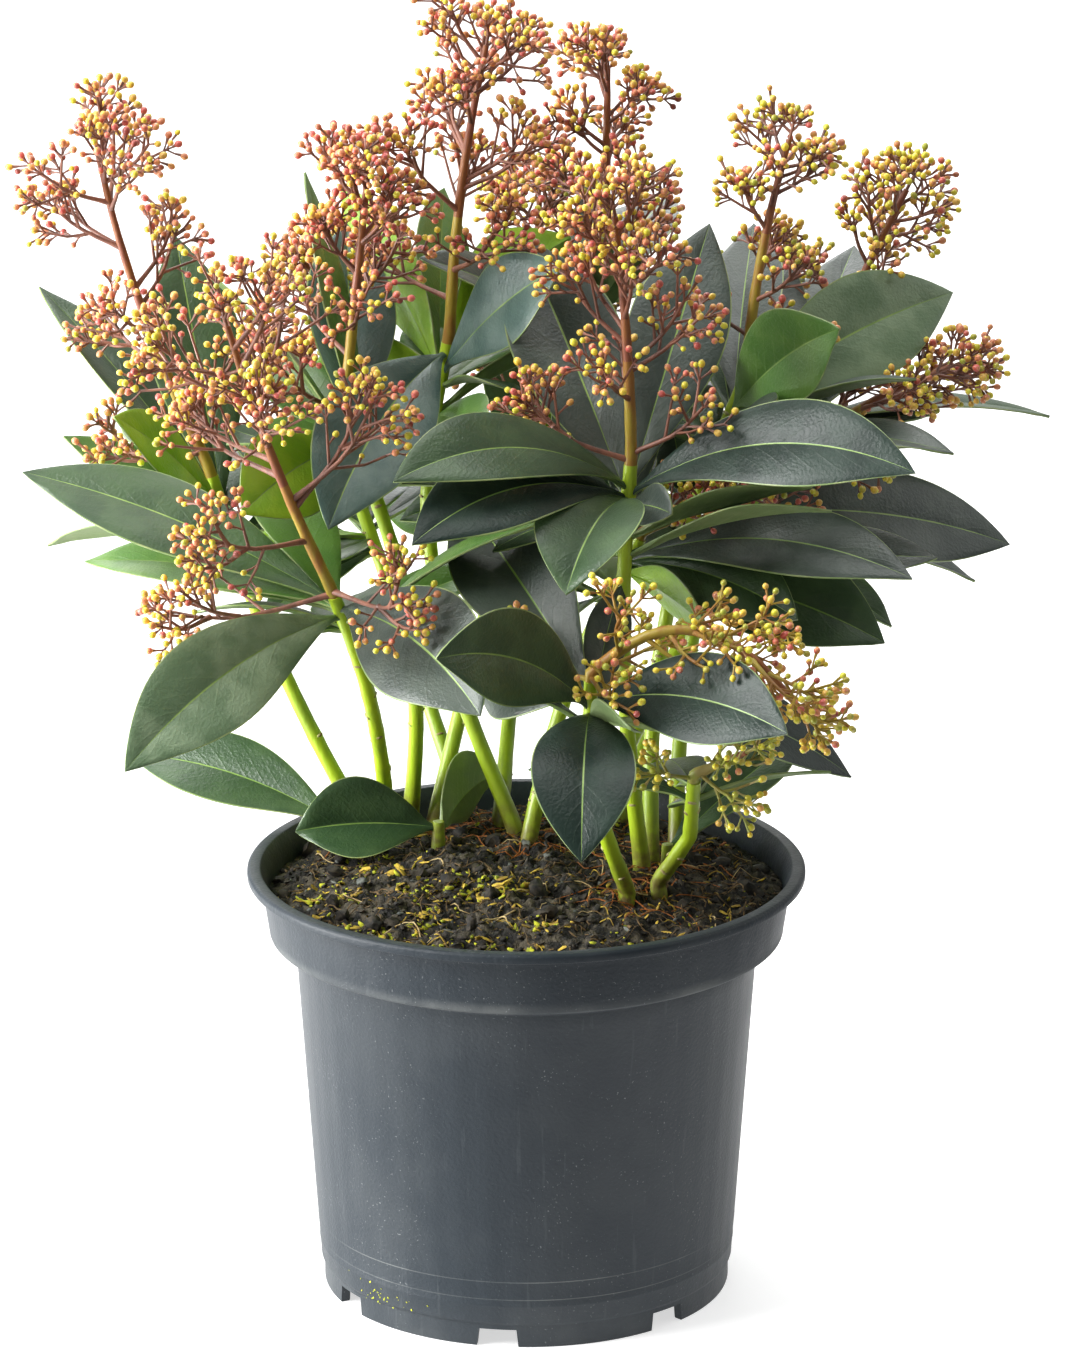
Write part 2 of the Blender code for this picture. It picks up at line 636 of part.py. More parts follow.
def build_pot(collection, cutters, finish):
    """Thin turned shell with a collar, cut by the notches of its feet and by drain holes."""
    inner = [
        (0.0, WALL + 0.3), (PAD_RADIUS - 1.4, WALL + 0.3), (CHANNEL_INNER - 1.4, FLOOR + WALL),
        (BODY_BASE_RADIUS - WALL - 0.1, FLOOR + WALL), (BODY_TOP_RADIUS - WALL, BODY_TOP + 1.4),
        (COLLAR_BASE_RADIUS - WALL, COLLAR_BASE + 1.6), (COLLAR_TOP_RADIUS - WALL, COLLAR_TOP),
    ]
    outer = [
        (COLLAR_TOP_RADIUS + 0.4, POT_HEIGHT), (LIP_RADIUS - 0.8, POT_HEIGHT), (LIP_RADIUS, POT_HEIGHT - 0.8),
        (LIP_RADIUS, LIP_BASE), (COLLAR_TOP_RADIUS, LIP_BASE - 0.6),
        (COLLAR_BASE_RADIUS, COLLAR_BASE), (BODY_TOP_RADIUS, BODY_TOP),
        (BODY_BASE_RADIUS, FOOT_HEIGHT), (FOOT_RADIUS, FOOT_HEIGHT - 1.0),
        (FOOT_RADIUS, 0.0), (CHANNEL_OUTER, 0.0), (CHANNEL_OUTER, FLOOR), (CHANNEL_INNER, FLOOR),
        (PAD_RADIUS, 0.0), (0.0, 0.0),
    ]
    pot = turned(collection, "pot", inner + outer, POT_SIDES, finish)
    middle = (CHANNEL_OUTER + FOOT_RADIUS) / 2
    for foot in range(FEET):
        turn = math.radians(FIRST_NOTCH + 360 / FEET * foot)
        work = bmesh.new()
        bmesh.ops.create_cube(work, size=1.0)
        for vert in work.verts:
            narrow = 0.82 if vert.co.z > 0 else 1.0
            width = NOTCH_WIDTH * narrow
            vert.co = Vector((vert.co.x * NOTCH_DEPTH, vert.co.y * width, vert.co.z * 2 * NOTCH_HEIGHT)) * MM
        place = Matrix.Rotation(turn, 4, "Z") @ Matrix.Translation((middle * MM, 0.0, 0.0))
        bmesh.ops.transform(work, matrix=place, verts=work.verts)
        add_cutter(pot, cutters, f"notch_{foot + 1}", work)
    for hole in range(DRAIN_HOLES):
        turn = math.radians(FIRST_NOTCH + 360 / DRAIN_HOLES * (hole + 0.5))
        work = bmesh.new()
        bmesh.ops.create_cone(work, cap_ends=True, segments=10, radius1=DRAIN_RADIUS * MM,
                              radius2=DRAIN_RADIUS * MM, depth=6.0 * MM)
        outward = Matrix.Translation((DRAIN_CIRCLE * MM, 0.0, (FLOOR + 1.0) * MM))
        place = Matrix.Rotation(turn, 4, "Z") @ outward
        bmesh.ops.transform(work, matrix=place, verts=work.verts)
        add_cutter(pot, cutters, f"drain_{hole + 1}", work)
    return pot


def add_cutter(piece, cutters, name, work):
    """Cut a piece with a bmesh, kept as a hidden cutter object."""
    mesh = bpy.data.meshes.new(name)
    work.to_mesh(mesh)
    work.free()
    cutter = put(cutters, name, mesh)
    cutter.hide_render = True
    cutter.display_type = "WIRE"
    cut = piece.modifiers.new(name, "BOOLEAN")
    cut.operation = "DIFFERENCE"
    cut.object = cutter
    cut.solver = "EXACT"


def build_soil(collection, finish):
    """Plug of peat that fills the pot, mounded at the top."""
    edge = inner_radius(SOIL_EDGE) - GAP
    profile = [(edge * share, soil_height(edge * share, 0)) for share in (0.0, 0.3, 0.55, 0.8, 1.0)]
    profile += [
        (COLLAR_BASE_RADIUS - WALL - GAP - 0.1, COLLAR_BASE + 1.9),
        (BODY_TOP_RADIUS - WALL - GAP - 0.1, BODY_TOP + 1.8),
        (BODY_BASE_RADIUS - WALL - GAP - 0.2, FLOOR + WALL + GAP),
        (CHANNEL_INNER - 1.8, FLOOR + WALL + GAP),
        (PAD_RADIUS - 1.9, WALL + 0.3 + GAP), (0.0, WALL + 0.3 + GAP),
    ]
    return turned(collection, "soil", profile, SOIL_SIDES, finish)


def main():
    """Clear the scene and build the pot, the peat and every shoot."""
    for old in list(bpy.data.objects):
        bpy.data.objects.remove(old)
    plant = bpy.data.collections.new("potted_skimmia")
    cutters = bpy.data.collections.new("cutters")
    bpy.context.scene.collection.children.link(plant)
    bpy.context.scene.collection.children.link(cutters)
    plastic = material("slate plastic", (0.045, 0.05, 0.058), 0.45)
    peat = material("peat", (0.035, 0.024, 0.016), 0.95)
    bark = material("green stem", (0.22, 0.36, 0.06), 0.5)
    blade = material("leaf", (0.03, 0.09, 0.035), 0.38)
    flower = material("buds", (0.42, 0.17, 0.09), 0.5)
    build_pot(plant, cutters, plastic)
    build_soil(plant, peat)
    growths, low_growths = grow()
    for growth in growths:
        name = growth.shoot.name
        tube(plant, "stem_" + name, growth.stem, growth.stem_radii(), 1, bark)
        whorl = as_mesh(tube(plant, "leaves_" + name, growth.whorl, growth.whorl_radii(), 0))
        whorl.data.materials.append(blade)
        if growth.leaves:
            fuse(whorl, [leaf_body(root, leaf) for root, leaf, _ in growth.leaves])
        axis = as_mesh(tube(plant, "flowers_" + name, growth.axis, growth.axis_radii(), 0))
        axis.data.materials.append(flower)
        fuse(axis, [bud_body(*branch) for branch in growth.branches])
    for growth in low_growths:
        twig = as_mesh(tube(plant, "leaves_" + growth.name, growth.twig, [LOW_SHOOT_RADIUS] * 2, 0))
        twig.data.materials.append(blade)
        fuse(twig, [leaf_body(root, leaf) for root, leaf, _ in growth.leaves])


main()
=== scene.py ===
"""Looks of the potted skimmia: pot, peat, green stems, leathery leaves and panicles of buds.

The shoots, leaves and branches stand where the growth rule puts them, in millimetres, which MM turns into
metres where a mesh is made.  X runs right, Y away from the front, Z up, from the middle of the pot's foot.
"""
from __future__ import annotations

import logging
from dataclasses import dataclass
from enum import Enum
from functools import cache
from itertools import product
from math import cos, exp, floor, hypot, pi, radians, sin, sqrt, tau
from random import Random

import bmesh
import bpy
import numpy as np
from bpy.types import Material, Node, NodeSocket as Socket, Object
from mathutils import Matrix, Vector, noise
from mathutils.bvhtree import BVHTree


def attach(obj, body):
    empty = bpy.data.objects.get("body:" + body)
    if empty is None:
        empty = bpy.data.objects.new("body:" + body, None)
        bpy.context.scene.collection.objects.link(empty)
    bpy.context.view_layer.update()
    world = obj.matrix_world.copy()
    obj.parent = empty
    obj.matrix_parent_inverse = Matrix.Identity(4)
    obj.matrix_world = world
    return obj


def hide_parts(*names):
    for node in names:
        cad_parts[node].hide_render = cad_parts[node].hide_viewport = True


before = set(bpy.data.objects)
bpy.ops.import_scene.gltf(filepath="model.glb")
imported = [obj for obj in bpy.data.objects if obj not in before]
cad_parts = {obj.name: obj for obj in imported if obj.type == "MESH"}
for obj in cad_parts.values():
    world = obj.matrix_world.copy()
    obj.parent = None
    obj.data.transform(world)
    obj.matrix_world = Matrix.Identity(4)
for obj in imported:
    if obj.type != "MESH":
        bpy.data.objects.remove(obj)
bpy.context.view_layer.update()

log = logging.getLogger("skimmia")

Triple = tuple[float, float, float]
Span = tuple[float, float]
Feed = float | Triple | Socket

MM = 0.001
GAP = 0.3                # clearance between neighbouring solids
CLEAR = GAP + 0.1        # clearance that a leaf or branch has to find when it is placed
UP = Vector((0.0, 0.0, 1.0))
GOLDEN_TURN = 137.5      # degrees from one branch or leaf to the next round its stem

# ---- peat and pot, as the growth rule needs them ----
SOIL_EDGE = 125.5
SOIL_MOUND = 7.0
WALL = 1.7
COLLAR_BASE_RADIUS = 78.3
COLLAR_BASE = 112.6
COLLAR_TOP_RADIUS = 80.6
COLLAR_TOP = 128.5

# ---- shoots ----
STEM_ROOT_RADIUS = 3.5
STEM_TIP_RADIUS = 2.9
ROOT_FLARE = 0.5
STEM_STEPS = 4
STEM_START = 3.0
STEM_END = 2.5
WHORL_LENGTH = 19.0
WHORL_TOP_RADIUS = 2.3
LEAF_START = 2.6         # distance of the first leaf below the crown
LEAF_END = 3.0           # and of the last above the whorl's lower end
LEAF_STEP = 1.3
LEAF_CLEAR = 3.4
LEAF_SINK = 0.9
LEAF_THICKNESS = 1.5
LEAF_STALK = 1.7
LEAF_STATIONS = (0.0, 0.29, 0.58, 0.83)
LEAF_FOLD = 0.16
LEAF_WIDEST = 1.35       # power that moves the widest place of a leaf past its middle
LEAF_PIECES = 24
BLADE_START = 0.28
AXIS_TIP_RADIUS = 0.8
AXIS_START = 3.0
AXIS_STEPS = 4
LIMB_SIDES = 6
BRANCH_RADIUS = 1.0
TWIG_RADIUS = 0.6
TWIG_LENGTH = 9.0
BEND_SHARE = 0.55        # share of a branch before its bend
TIP_SHARE = 0.45         # and after it
TURN_BACK = 0.45         # how much a branch turns back to its axis's direction
SHORTENED = 0.62         # share that is left of a branch that meets something
BUD_RADIUS = 3.8
BUD_LENGTH = 7.6
BUD_SIDES = 3
NUDGES = ((0, 0), (0, 6), (6, 0), (-6, 0), (0, -6), (8, 8), (-8, 8), (12, 0), (-12, 0), (0, 12), (0, -12))
SMALL_LEAVES = 4
LOWER_LEAVES = 3
LOWER_LEAVES_FROM = 222.0
LOWER_SHARES = (0.78, 0.97)
LOW_SHOOT_HEIGHT = 7.0
LOW_SHOOT_RADIUS = 2.2
LOW_LEAF_STEP = 1.5


class Clump(Enum):
    """The part of the plant that a shoot belongs to."""

    LEFT = "left"
    RIGHT = "right"
    LOW = "low"
    BACK = "back"


# How a leaf is coloured, from grey shade leaves to thin ones with the light behind them: slate is partly the
# leaves' own grey-green and partly painted shade, ink is painted shade, blue and sage are painted sheen, and
# lit is painted light shining through the leaf.
Tint = Enum("Tint", "SLATE DEEP FRESH LIT BLUE SAGE INK", start=0)


@dataclass(frozen=True)
class Leaf:
    """Degrees round the shoot, degrees above level, sizes in mm, droop and roll in degrees."""

    turn: float
    rise: float
    length: float
    width: float
    droop: float = 20.0
    roll: float = 0.0


@dataclass(frozen=True)
class Bloom:
    """A panicle: its top, the sideways bow of its axis, its reach and where its lowest branch stands."""

    tip: Triple
    reach: float
    branches: int
    first: float = 0.2
    turn: float = 0.0
    bow: Triple = (0.0, 0.0, 0.0)
    droop: float = 0.0


@dataclass(frozen=True)
class Shoot:
    """A stem from its foot in the peat to its crown, with a whorl of leaves and a panicle."""

    name: str
    foot: Span
    crown: Triple
    bow: Triple
    bloom: Bloom
    leaves: tuple[Leaf, ...]
    spare: int = 0


SHOOTS = (
    Shoot("far_left", (-51, 43), (-96, 45, 242), (-3, 0, 0),
          Bloom((-129, 38, 346), 33, 8, 0.24, 200, (-4, 0, 2)),
          (Leaf(143, 45, 92, 26, 15), Leaf(113, 65, 88, 30, 10, 10), Leaf(222, 50, 60, 22, 20, 60)), 3),
    Shoot("left_front", (-43, 40), (-57, -25, 225), (3, 0, 0),
          Bloom((-87, -42, 312), 45, 10, 0.06, 180, (-2, 0, 0), 10),
          (Leaf(152, 27, 106, 27, 20, 35), Leaf(304, 12, 78, 37, 45, -48), Leaf(150, 14, 88, 24, 25, 25),
           Leaf(230, 2, 98, 31, 35, 50), Leaf(142, 14, 80, 24, 30, 20)), 1),
    Shoot("left_middle", (-36, 47), (-54, 20, 265), (8, -2, 0),
          Bloom((-47, 12, 346), 29, 9, 0.22, 230),
          (Leaf(94, 46, 80, 30, 10, -20), Leaf(236, 5, 56, 30, 30, 50), Leaf(84, 0, 64, 25, 25, 10),
           Leaf(134, 42, 80, 24, 15, -40), Leaf(118, 64, 92, 22, 15, -45)), 1),
    Shoot("top_left", (-4, 32), (-24, 45, 284), (-12, 3, 0),
          Bloom((-12, 45, 377), 33, 9, 0.3, 160, (-2, 0, 0)),
          (Leaf(245, -2, 88, 35, 45, 32), Leaf(308, 48, 70, 27, 20, -80), Leaf(60, 33, 82, 31, 30, 120),
           Leaf(120, 42, 76, 23, 10, -115), Leaf(150, -4, 50, 26, 40, -86), Leaf(92, 50, 80, 26, 8, -48)), 0),
    Shoot("top_back", (-28, 48), (23, 85, 294), (-4, 0, 0),
          Bloom((25, 92, 360), 22, 8, 0.35, 20),
          (Leaf(249, 17, 80, 28, 45, 40), Leaf(83, 43, 55, 24, 10, 60), Leaf(20, 15, 70, 26, 25)), 2),
    Shoot("front", (35, -2), (31, -15, 262), (-3, -4, 0),
          Bloom((26, -22, 340), 32, 10, 0.12, 190, (1, 0, 0)),
          (Leaf(65, 50, 91, 31, 5, -25), Leaf(216, 40, 88, 27, 60, 35), Leaf(331, 39, 100, 29, 55, -50),
           Leaf(119, 38, 92, 35, 8, 20), Leaf(219, 28, 86, 29, 55, 30), Leaf(251, 16, 60, 32, 60, 4),
           Leaf(303, 17, 24, 14, 20, -60)), 1),
    Shoot("right_top", (38, 10), (65, 25, 276), (-8, 0, 0),
          Bloom((79, 36, 350), 23, 8, 0.1, 250, (-2, 0, 0)),
          (Leaf(85, 37, 76, 26, 10, 14), Leaf(306, 48, 62, 29, 25, -100), Leaf(34, 29, 90, 34, 25, -62),
           Leaf(75, 36, 78, 28, 12, -20)), 2),
    Shoot("right_back", (20, 40), (86, 75, 257), (0, 4, 0),
          Bloom((117, 82, 324), 22, 7, 0.45, 20, (-1, 0, 0)),
          (Leaf(75, 35, 80, 28, 10, 10), Leaf(24, 10, 92, 20, 30, 0)), 3),
    Shoot("far_right", (46, 19), (63, 45, 234), (-4, 6, 0),
          Bloom((131, 56, 275), 27, 9, 0.2, 300, (0, 0, 4), 10),
          (Leaf(24, 0, 102, 31, 25, -48),), 3),
    Shoot("low_front", (30, -27), (19, -60, 209), (-3, -3, 0),
          Bloom((82, -72, 202), 28, 11, 0.04, 150, (0, -2, 20), 16),
          (Leaf(121, 34, 88, 35, 15, 38), Leaf(233, 44, 80, 29, 40, 90), Leaf(319, 25, 76, 29, 40, -52),
           Leaf(127, 9, 58, 29, 40, 50), Leaf(29, -2, 96, 27, 40, -37), Leaf(266, 13, 68, 31, 75, 6)), 0),
    Shoot("middle", (1, 19), (34, 18, 230), (-4, 2, 0),
          Bloom((58, 8, 246), 22, 6, 0.1, 60),
          (Leaf(328, 27, 98, 27, 45, -40), Leaf(138, 26, 74, 24, 15, -96), Leaf(322, 10, 66, 25, 30, -40),
           Leaf(138, -4, 66, 26, 30, -94), Leaf(345, 4, 84, 34, 30, -50), Leaf(310, 0, 44, 18, 20, 77)), 1),
    Shoot("low_right", (40, -20), (50, -38, 171), (2, 0, 0),
          Bloom((65, -46, 183), 18, 6, 0.1, 200),
          (Leaf(100, 5, 38, 17, 20),), 0),
    Shoot("back_left", (-20, 58), (-52, 98, 218), (0, 6, 0),
          Bloom((-66, 112, 296), 26, 8, 0.25, 100),
          (Leaf(150, 28, 88, 28, 25), Leaf(70, 20, 90, 30, 30), Leaf(110, 5, 84, 27, 40),
           Leaf(28, 30, 74, 25, 25), Leaf(190, 10, 66, 24, 30)), 1),
    Shoot("back_middle", (-8, 44), (2, 104, 234), (0, 8, 0),
          Bloom((4, 122, 312), 27, 8, 0.25, 60),
          (Leaf(100, -10, 80, 28, 30), Leaf(55, 8, 84, 27, 35), Leaf(170, 30, 70, 25, 25),
           Leaf(95, 62, 78, 27, 20), Leaf(20, 26, 72, 25, 25)), 1),
    Shoot("back_right", (30, 52), (62, 108, 211), (0, 6, 0),
          Bloom((76, 124, 286), 26, 8, 0.25, 80),
          (Leaf(40, 26, 90, 29, 25), Leaf(85, 16, 92, 30, 30), Leaf(0, 8, 84, 27, 35),
           Leaf(125, 12, 76, 26, 30), Leaf(330, 2, 66, 24, 35)), 1),
)

# Short shoots that carry a few old leaves just over the peat: name, foot and leaves.
LOW_SHOOTS = (
    ("foot_left", (-57, 34), (Leaf(153, 25, 76, 27, 30, 38),)),
    ("foot_front", (-27, 22), (Leaf(188, 12, 44, 26, 22, 60), Leaf(60, 42, 34, 24, 50, 90))),
    ("foot_right", (43, 2), (Leaf(44, 30, 64, 22, 20, -10),)),
)


# ---- the growth rule ----
def heading(turn: float, rise: float) -> Vector:
    """Unit vector at so many degrees round +Z and above level."""
    turn, rise = radians(turn), radians(rise)
    return Vector((cos(rise) * cos(turn), cos(rise) * sin(turn), sin(rise)))


def across(direction: Vector) -> tuple[Vector, Vector]:
    """Two unit vectors square to a direction and to each other."""
    side = direction.orthogonal().normalized()
    return side, direction.cross(side).normalized()


def sideways(direction: Vector, angle: float) -> Vector:
    """Unit vector square to a direction, at an angle in radians round it."""
    side, other = across(direction)
    return cos(angle) * side + sin(angle) * other


def square_part(vector: Vector, along: Vector) -> Vector:
    """Unit vector of the part of a vector that is square to a direction."""
    return (vector - along * vector.dot(along)).normalized()


def arc_points(start: Vector, end: Vector, bow: Vector | Triple, steps: int) -> list[Vector]:
    """Points, one more than the steps, of a curve whose middle is pushed aside by bow."""
    control = (start + end) / 2 + 2 * Vector(bow)
    points = []
    for step in range(steps + 1):
        t = step / steps
        points.append(start * (1 - t) ** 2 + control * 2 * t * (1 - t) + end * t ** 2)
    return points


def point_on(points: list[Vector], share: float) -> tuple[Vector, Vector]:
    """Place and direction at a share of the way along a line of points."""
    place = share * (len(points) - 1)
    i = min(int(place), len(points) - 2)
    step = points[i + 1] - points[i]
    return points[i] + step * (place - i), step.normalized()


def tapered(first: float, last: float, count: int) -> list[float]:
    """Evenly changing radii from the first to the last."""
    return [first - (first - last) / (count - 1) * i for i in range(count)]


def inner_radius(height: float) -> float:
    """Inner radius of the pot's collar at a height."""
    share = (height - COLLAR_BASE) / (COLLAR_TOP - COLLAR_BASE)
    return COLLAR_BASE_RADIUS - WALL + share * (COLLAR_TOP_RADIUS - COLLAR_BASE_RADIUS)


def soil_height(x: float, y: float) -> float:
    """Height of the smooth mound of peat at a place in the pot."""
    share = (x * x + y * y) / inner_radius(SOIL_EDGE) ** 2
    return SOIL_EDGE + SOIL_MOUND * (1 - share)


def footing(foot: tuple[float, float], radius: float) -> Vector:
    """Point just over the mound where a stem of some radius stands clear of it."""
    x, y = foot
    drop = 2 * SOIL_MOUND * hypot(x, y) / inner_radius(SOIL_EDGE) ** 2 * radius
    return Vector((x, y, soil_height(x, y) + GAP + drop))


class Body:
    """A closed loft through rings of points; a last ring of one point closes it to a tip."""

    def __init__(self, rings: list[list[Vector]]) -> None:
        """Join the rings.

        Args:
            rings: Rings of points from one end to the other, each as long as the last or a single tip.
        """
        self.verts = [point for ring in rings for point in ring]
        self.faces = [tuple(reversed(range(len(rings[0]))))]
        base = 0
        for ring_, following in zip(rings, rings[1:]):
            count = len(ring_)
            for i in range(count):
                j = (i + 1) % count
                if len(following) == 1:
                    self.faces.append((base + i, base + j, base + count))
                else:
                    self.faces.append((base + i, base + j, base + count + j, base + count + i))
            base += count
        if len(rings[-1]) > 1:
            self.faces.append(tuple(range(base, base + len(rings[-1]))))

    def tree(self) -> BVHTree:
        """Search tree of the body's faces."""
        return BVHTree.FromPolygons(self.verts, self.faces)

    def extent(self) -> list[list[float]]:
        """Lowest and highest corner of the body."""
        return [[pick(v[k] for v in self.verts) for k in range(3)] for pick in (min, max)]


def ring(centre: Vector, direction: Vector, radius: float, sides: int) -> list[Vector]:
    """Points of a regular ring square to a direction."""
    side, other = across(direction)
    turns = (2 * pi * i / sides for i in range(sides))
    return [centre + radius * (cos(a) * side + sin(a) * other) for a in turns]


def leaf_frame(leaf: Leaf, along: Vector, twist: float = 0.0) -> tuple[Vector, Vector]:
    """Sideways and upward unit vectors of a leaf where it runs along a direction, rolled and twisted."""
    turn, roll = radians(leaf.turn), radians(leaf.roll + twist)
    level = Vector((-sin(turn), cos(turn), 0.0))
    normal = along.cross(level).normalized()
    return cos(roll) * level - sin(roll) * normal, cos(roll) * normal + sin(roll) * level


def leaf_ring(point: Vector, along: Vector, leaf: Leaf, share: float, grow: float) -> list[Vector]:
    """Diamond section of a leaf, grown a little: right margin, upper face, left margin and lower face."""
    side, face = leaf_frame(leaf, along)
    half = max(LEAF_STALK, leaf.width / 2 * sin(pi * share ** LEAF_WIDEST) ** 0.8)
    thick = LEAF_THICKNESS / 2 * (1 - 0.4 * share) + grow
    lift = LEAF_FOLD * half * face
    out = (half + grow) * side
    return [point - out + lift, point + thick * face, point + out + lift, point - thick * face]


def leaf_body(root: Vector, leaf: Leaf, grow: float = 0.0, start: float = 0.0) -> Body:
    """Coarse loft of a leaf, by which the rule tells what it would touch.

    Args:
        root: Where the leaf leaves its shoot.
        leaf: The leaf's direction and size.
        grow: How much thicker and wider than the leaf the loft is.
        start: Share of the length before which the loft is left out.

    Returns:
        The loft.
    """
    rings = []
    point = Vector(root)
    stations = [s for s in LEAF_STATIONS if s >= start]
    for piece in range(LEAF_PIECES + 1):
        share = piece / LEAF_PIECES
        along = heading(leaf.turn, leaf.rise - leaf.droop * share)
        if stations and share >= stations[0] - 1e-6:
            stations.pop(0)
            rings.append(leaf_ring(point, along, leaf, share, grow))
        if piece < LEAF_PIECES:
            middle = heading(leaf.turn, leaf.rise - leaf.droop * (share + 0.5 / LEAF_PIECES))
            point = point + middle * (leaf.length / LEAF_PIECES)
    rings.append([point])
    return Body(rings)


def limb_body(points: list[Vector], radii: list[float]) -> Body:
    """Coarse loft of a limb through points with a radius at each."""
    rings = []
    for i, point in enumerate(points):
        along = (points[min(i + 1, len(points) - 1)] - points[max(i - 1, 0)]).normalized()
        rings.append(ring(point, along, radii[i], LIMB_SIDES))
    return Body(rings)


def bud_body(start: Vector, bend: Vector, end: Vector, radius: float, grow: float = 0.0) -> Body:
    """Coarse loft of a branch and the bud on its end.

    Args:
        start: Where the branch starts.
        bend: Where it turns.
        end: The middle of its bud.
        radius: The branch's radius.
        grow: How much the loft is grown.

    Returns:
        The loft.
    """
    along = (end - bend).normalized()
    rings = [
        ring(start, (bend - start).normalized(), radius + grow, BUD_SIDES),
        ring(end, along, BUD_RADIUS + grow, BUD_SIDES),
        [end + along * (BUD_LENGTH * 0.55 + grow)],
    ]
    if radius > TWIG_RADIUS:
        rings.insert(1, ring(bend, (end - start).normalized(), radius * 0.9 + grow, BUD_SIDES))
    return Body(rings)


def bough_path(at: Vector, along: Vector, turn: float, opening: float, sag: float,
               length: float) -> tuple[Vector, Vector, Vector]:
    """First direction, bend and end of a bough that leaves an axis and bends back towards its direction.

    Args:
        at: Where it leaves.
        along: The axis's direction there.
        turn: Degrees round +Z.
        opening: Radians off the axis.
        sag: How much it is turned down.
        length: Its length.
    """
    direction = cos(opening) * along + sin(opening) * square_part(heading(turn, 0), along)
    direction.z -= sag
    bend = at + direction.normalized() * length * BEND_SHARE
    return direction, bend, bend + (direction + along * TURN_BACK).normalized() * length * TIP_SHARE


class Plot:
    """The coarse bodies placed so far, each with the node that owns it."""

    def __init__(self) -> None:
        """Start with nothing placed."""
        self.placed: list[tuple] = []

    def add(self, owner: str, body: Body) -> None:
        """Remember a body that stands."""
        self.placed.append((owner, body.tree(), *body.extent()))

    def is_clear(self, owner: str, body: Body) -> bool:
        """Tell whether an owner's body touches nothing that another node owns."""
        low, high = body.extent()
        tree = None
        for other, standing, other_low, other_high in self.placed:
            if other == owner or any(low[k] > other_high[k] or high[k] < other_low[k] for k in range(3)):
                continue
            tree = tree or body.tree()
            if tree.overlap(standing):
                return False
        return True


@dataclass(frozen=True)
class Filler:
    """Leaves tried where there is room: how often for each one wanted, and the spans of a Leaf's values."""

    tag: str
    tries: int
    spans: tuple[Span, ...]

    def draw(self, rng: Random) -> Leaf:
        """Leaf with each value drawn from its span."""
        return Leaf(*(rng.uniform(*span) for span in self.spans))


# Long leaves that face mostly away from the front, short ones all round, and those on the stem below.
SPARE = Filler("spare", 8, ((45, 135), (-5, 35), (62, 84), (23, 29), (15, 40)))
SMALL = Filler("small", 6, ((0, 360), (0, 55), (30, 52), (12, 19), (10, 45), (-40, 40)))
LOWER = Filler("lower", 12, ((0, 360), (5, 50), (50, 80), (20, 27), (10, 40), (-35, 35)))


